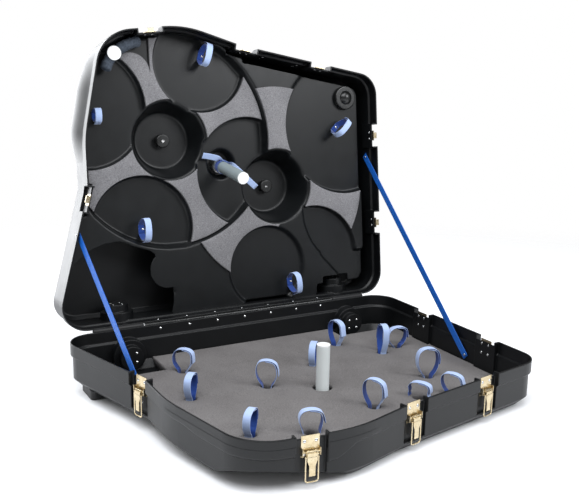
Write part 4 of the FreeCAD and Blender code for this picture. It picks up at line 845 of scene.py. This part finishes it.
# rounded oblong, across the strap and off its face, anticlockwise
def strapSection(width, thickness, steps=6):
    half, r = width / 2, thickness / 2
    span = np.linspace(-half + r, half - r, steps)
    bend = np.linspace(0, math.pi, steps)[1:-1]
    top = np.column_stack([span[::-1], np.full(steps, r)])
    left = np.column_stack([-half + r - r * np.sin(bend), r * np.cos(bend)])
    under = np.column_stack([span, np.full(steps, -r)])
    right = np.column_stack([half - r + r * np.sin(bend), -r * np.cos(bend)])
    return np.vstack([top, left, under, right])


# The section carried along a line: point = line + across * side + off * outward.
def strapRun(line, side, outward, section):
    grid = line[:, None] + section[None, :, :1] * side[:, None] + section[None, :, 1:] * outward[:, None]
    rows, cols = len(line), len(section)
    faces = gridFaces(rows, cols, wrapCols=True) + endCaps(rows, cols)
    run = distanceRun(line)[:, None]
    uv = np.stack(np.broadcast_arrays(run, section[None, :, 0]), -1).reshape(-1, 2) / 1000
    outer = np.broadcast_to((section[None, :, 1] > 0).astype(float), (rows, cols)).reshape(-1)
    return grid.reshape(-1, 3), faces, uv, outer


# one piece from strap runs, with a map in metres along and across, and its outer face marked
def strapPiece(name, strapRuns, back, finish):
    points, faces, uv, outer, count = [], [], [], [], 0
    for p, f, u, o in strapRuns:
        points.append(p)
        faces += [[v + count for v in face] for face in f]
        uv.append(u)
        outer.append(o)
        count += len(p)
    piece = makePiece(name, back(np.vstack(points)), faces, finish)
    mesh = piece.data
    layer = mesh.uv_layers.new(name="strapMap")
    layer.data.foreach_set("uv", np.vstack(uv)[faceCorners(mesh)].astype(np.float32).ravel())
    mark = mesh.attributes.new("outerFace", "FLOAT", "POINT")
    mark.data.foreach_set("value", np.concatenate(outer).astype(np.float32))
    print(name, "made,", len(mesh.polygons), "faces")
    return piece


# outward of a flat line: its tangent turned a quarter towards the outside of the loop
def flatFrames(line, side):
    side = np.broadcast_to(np.asarray(side, float), line.shape)
    return side, unitRows(np.cross(tangents(line), side))


# Tie strap: one leg goes up and over the top, the other ends under it, and the free end lifts off a little.
# A loop on the mat has x, d, turn, half width, height and half foot; in the lid x, d, turn, level and size.
tie = {"width": 20.0, "thick": 2.0, "air": 0.3, "sunk": 27.0, "lift": 4.0, "lean": 0.06, "kink": 1.6,
       "floor": [(56, 174, -45, 31, 70, 11), (0, 372, 50, 31, 70, 11), (224, 387, -33, 31, 78, 11),
                 (45, 643, 45, 31, 64, 11), (184, 700, -18, 31, 62, 20), (591, 166, -80, 31, 82, 11),
                 (429, 293, 50, 31, 70, 11), (682, 296, 76, 29, 94, 11), (757, 268, -5, 35, 66, 11),
                 (414, 638, -60, 31, 78, 11), (680, 526, -12, 35, 88, 11), (561, 642, -60, 31, 45, 26),
                 (657, 666, -60, 31, 62, 11)],
       "lidReach": 36.0, "lidHeight": 74.0, "lidFoot": 13.0, "lidLean": -0.05, "lidLift": 3.0, "lidKink": 1.2,
       "tab": 26.0, "tabRows": 8,
       "lid": [(262, 826, -74, 82, 1.0), (748, 590, -45, 62, 1.0), (34, 288, 90, 82, 1.0),
               (544, 70, 85, 62, 1.0), (-90, 640, 90, 82, 0.6)]}


# stops across and up, as shares of the reach and height between the foot and the flattened top; the outer leg
# gets a few mm more where it lies over the inner one
def tieLegs(reach, height, foot, sunk, lean, lift, kink):
    w, h = reach - tie["thick"] / 2, height - tie["thick"] / 2
    over = tie["thick"] + tie["air"]
    knee = max(0.66 * w, foot + 3)
    outerLeg = [(-foot, -sunk), (-foot - 1, 0), (-knee, 0.17 * h), (-0.92 * w - kink, 0.38 * h),
                (-w, 0.62 * h), (-0.88 * w + kink, 0.83 * h), (-0.55 * w, 0.955 * h), (0, h),
                (0.52 * w, 0.965 * h + 0.4), (0.87 * w + 1.6, 0.85 * h + 0.8), (w + 2.6, 0.65 * h),
                (0.97 * w + 2.6 + lift, 0.42 * h)]
    innerLeg = [(foot, -sunk), (foot + 1, 0), (knee, 0.17 * h), (0.92 * w - over / 2, 0.38 * h),
                (w - over, 0.62 * h), (0.86 * w - over, 0.83 * h), (0.5 * w, 0.95 * h - over),
                (-0.1 * w, h - over - 0.4)]
    legs = []
    for stops, way in ((outerLeg, 1), (innerLeg, -1)):
        u, v = smoothLine(stops, 6).T
        u = u + lean * np.clip(v / h, 0, 2) ** 2 * h
        line = np.column_stack([u, np.zeros(len(u)), v])
        side, outward = flatFrames(line, (0, way, 0))
        middle = len(u) // 2
        away = outward[middle] @ [u[middle], 0, v[middle] - 0.5 * h]
        legs.append((line, side, outward if away > 0 else -outward))
    return legs


# x and y go round the upright axis by the angle, z stays
def turnedZ(points, degrees):
    a = math.radians(degrees)
    x, y, z = np.moveaxis(points, -1, 0)
    return np.stack([x * math.cos(a) - y * math.sin(a), x * math.sin(a) + y * math.cos(a), z], -1)


# a run of the tie strap turned about the upright and set down on its spot
def tieRun(line, side, outward, degrees, spot):
    return strapRun(turnedZ(line, degrees) + spot, turnedZ(side, degrees), turnedZ(outward, degrees),
                    strapSection(tie["width"], tie["thick"]))


# each loop leans, lifts and kinks by its own amount, from sines of its number
strapRuns = []
for k, (x, d, degrees, reach, height, foot) in enumerate(tie["floor"]):
    lean, lift = tie["lean"] * math.sin(2.4 * k + 0.7), tie["lift"] * (0.5 + 0.5 * math.sin(1.7 * k))
    kink = tie["kink"] * math.sin(3.1 * k + 0.4)
    spot = np.array([x, -d, matSpec["topMm"]])
    for line, side, outward in tieLegs(reach, height, foot, tie["sunk"], lean, lift, kink):
        strapRuns.append(tieRun(line, side, outward, degrees, spot))
floorStraps = strapPiece("floorTieStraps", strapRuns, onBase, finishes["tieStrap"])
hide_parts("base_tie_straps")
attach(floorStraps, "base")

# in the lid the loops hang the other way up, each on a short tab
strapRuns = []
for k, (x, d, degrees, panel, scale) in enumerate(tie["lid"]):
    spot = np.array([x, -d, panel])
    legs = tieLegs(tie["lidReach"] * scale, tie["lidHeight"] * scale, tie["lidFoot"] * scale, 0.0,
                   tie["lidLean"], tie["lidLift"], tie["lidKink"] * math.sin(2.3 * k))
    tabAcross = np.linspace(-0.5, 0.5, tie["tabRows"]) * tie["tab"]
    tab = np.column_stack([tabAcross, 0 * tabAcross, 0 * tabAcross])
    side, outward = flatFrames(tab, (0, 1, 0))
    for line, side, outward in legs + [(tab, side, -outward)]:
        line = line + [0, 0, tie["thick"] / 2]
        strapRuns.append(tieRun(line * halfTurn, side * halfTurn, outward * halfTurn, degrees, spot))
lidStraps = strapPiece("lidTieStraps", strapRuns, onLid, finishes["tieStrap"])
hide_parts("lid_tie_straps")
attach(lidStraps, "lid")

# Strap round the lid pole's foot: one full turn, with two tails that twist to show their broad faces.
# Stops of the tails are a share of the tail's length and mm to the side.
poleStrap = {"foot": (316, -482, 118), "droop": 13.0, "up": 46.0, "radius": 20.3, "slope": 24.0, "widen": 2.4,
             "coilSteps": 49, "tails": (84.0, 140.0), "inStops": [(-1, 9), (-0.7, 15), (-0.4, 19)],
             "outStops": [(0.3, 15), (0.65, -1), (1, -17)], "twistFrom": 6.0, "twistTo": 34.0, "twist": 78,
             "sink": 0.10, "thick": 1.8}
droop, lean = math.radians(poleStrap["droop"]), math.radians(poleStrap["slope"])
poleAxis = np.array([0, math.sin(droop), -math.cos(droop)])
downRight = np.array([math.cos(lean), math.sin(lean), 0])
downRight -= poleAxis * (downRight @ poleAxis)
downRight /= np.linalg.norm(downRight)
upRight = np.cross(poleAxis, downRight)
# plan of the strap across the pole: a tail in, a slowly widening turn, a tail out
r, wide = poleStrap["radius"], poleStrap["radius"] + poleStrap["widen"]
coilTurn = np.radians(np.linspace(90, -270, poleStrap["coilSteps"]))
coil = np.column_stack([np.cos(coilTurn), np.sin(coilTurn)])
coil *= np.linspace(r, wide, poleStrap["coilSteps"])[:, None]
near, far = poleStrap["tails"]
tailIn = smoothLine([(s * near, v) for s, v in poleStrap["inStops"]] + [(-8, r - 0.3), (0, r)])[:-1]
tailOut = smoothLine([(0, wide), (8, wide - 0.4)] + [(s * far, v) for s, v in poleStrap["outStops"]])[1:]
flatLine = np.vstack([tailIn, coil, tailOut])
# tails sink along the pole and twist with their distance from it
off = np.concatenate([-tailIn[:, 0], np.zeros(len(coil)), tailOut[:, 0]])
twist = smoothStep(off, poleStrap["twistFrom"], poleStrap["twistTo"]) * math.radians(poleStrap["twist"])
line = (np.array(poleStrap["foot"]) + poleAxis * poleStrap["up"] + flatLine[:, :1] * downRight
        + flatLine[:, 1:] * upRight + (poleStrap["sink"] * off)[:, None] * poleAxis)
along = tangents(line)
across = unitRows(np.cross(along, poleAxis))
side = np.cross(across, along) * np.cos(twist)[:, None] - across * np.sin(twist)[:, None]
section = strapSection(tie["width"], poleStrap["thick"])
poleBand = strapPiece("lidPoleStrap", [strapRun(line, side, np.cross(along, side), section)], onLid,
                      finishes["tieStrap"])
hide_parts("pole_strap")
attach(poleBand, "lid")

# Stay straps: flat webbing from a rivet in the base to one in the lid, along the CAD strap's own long axis.
stay = {"width": 24.0, "thick": 1.6, "rows": 80}
for name in ("left", "right"):
    node = "stay_strap_" + name
    cloud = nodePoints(node)
    middle = (cloud.min(0) + cloud.max(0)) / 2
    axes = np.linalg.svd(np.unique(np.round(cloud, 6), axis=0) - middle)[2]
    spans = [(cloud - middle) @ axis for axis in axes]
    half = np.ptp(spans[0]) / 2
    middle = middle + sum(axis * (s.min() + s.max()) / 2 for axis, s in zip(axes, spans))
    upAlong = axes[0] * np.sign(axes[0][2])
    line = middle + np.linspace(-half, half, stay["rows"])[:, None] * upAlong
    side = np.broadcast_to(axes[1], line.shape)
    outward = np.broadcast_to(axes[2], line.shape)
    stayRun = strapRun(line * 1000, side, outward, strapSection(stay["width"], stay["thick"]))
    strap = strapPiece("stayStrap" + name.capitalize(), [stayRun], lambda p: p / 1000,
                       finishes["stayWebbing"])
    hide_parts(node)
    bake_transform(strap)
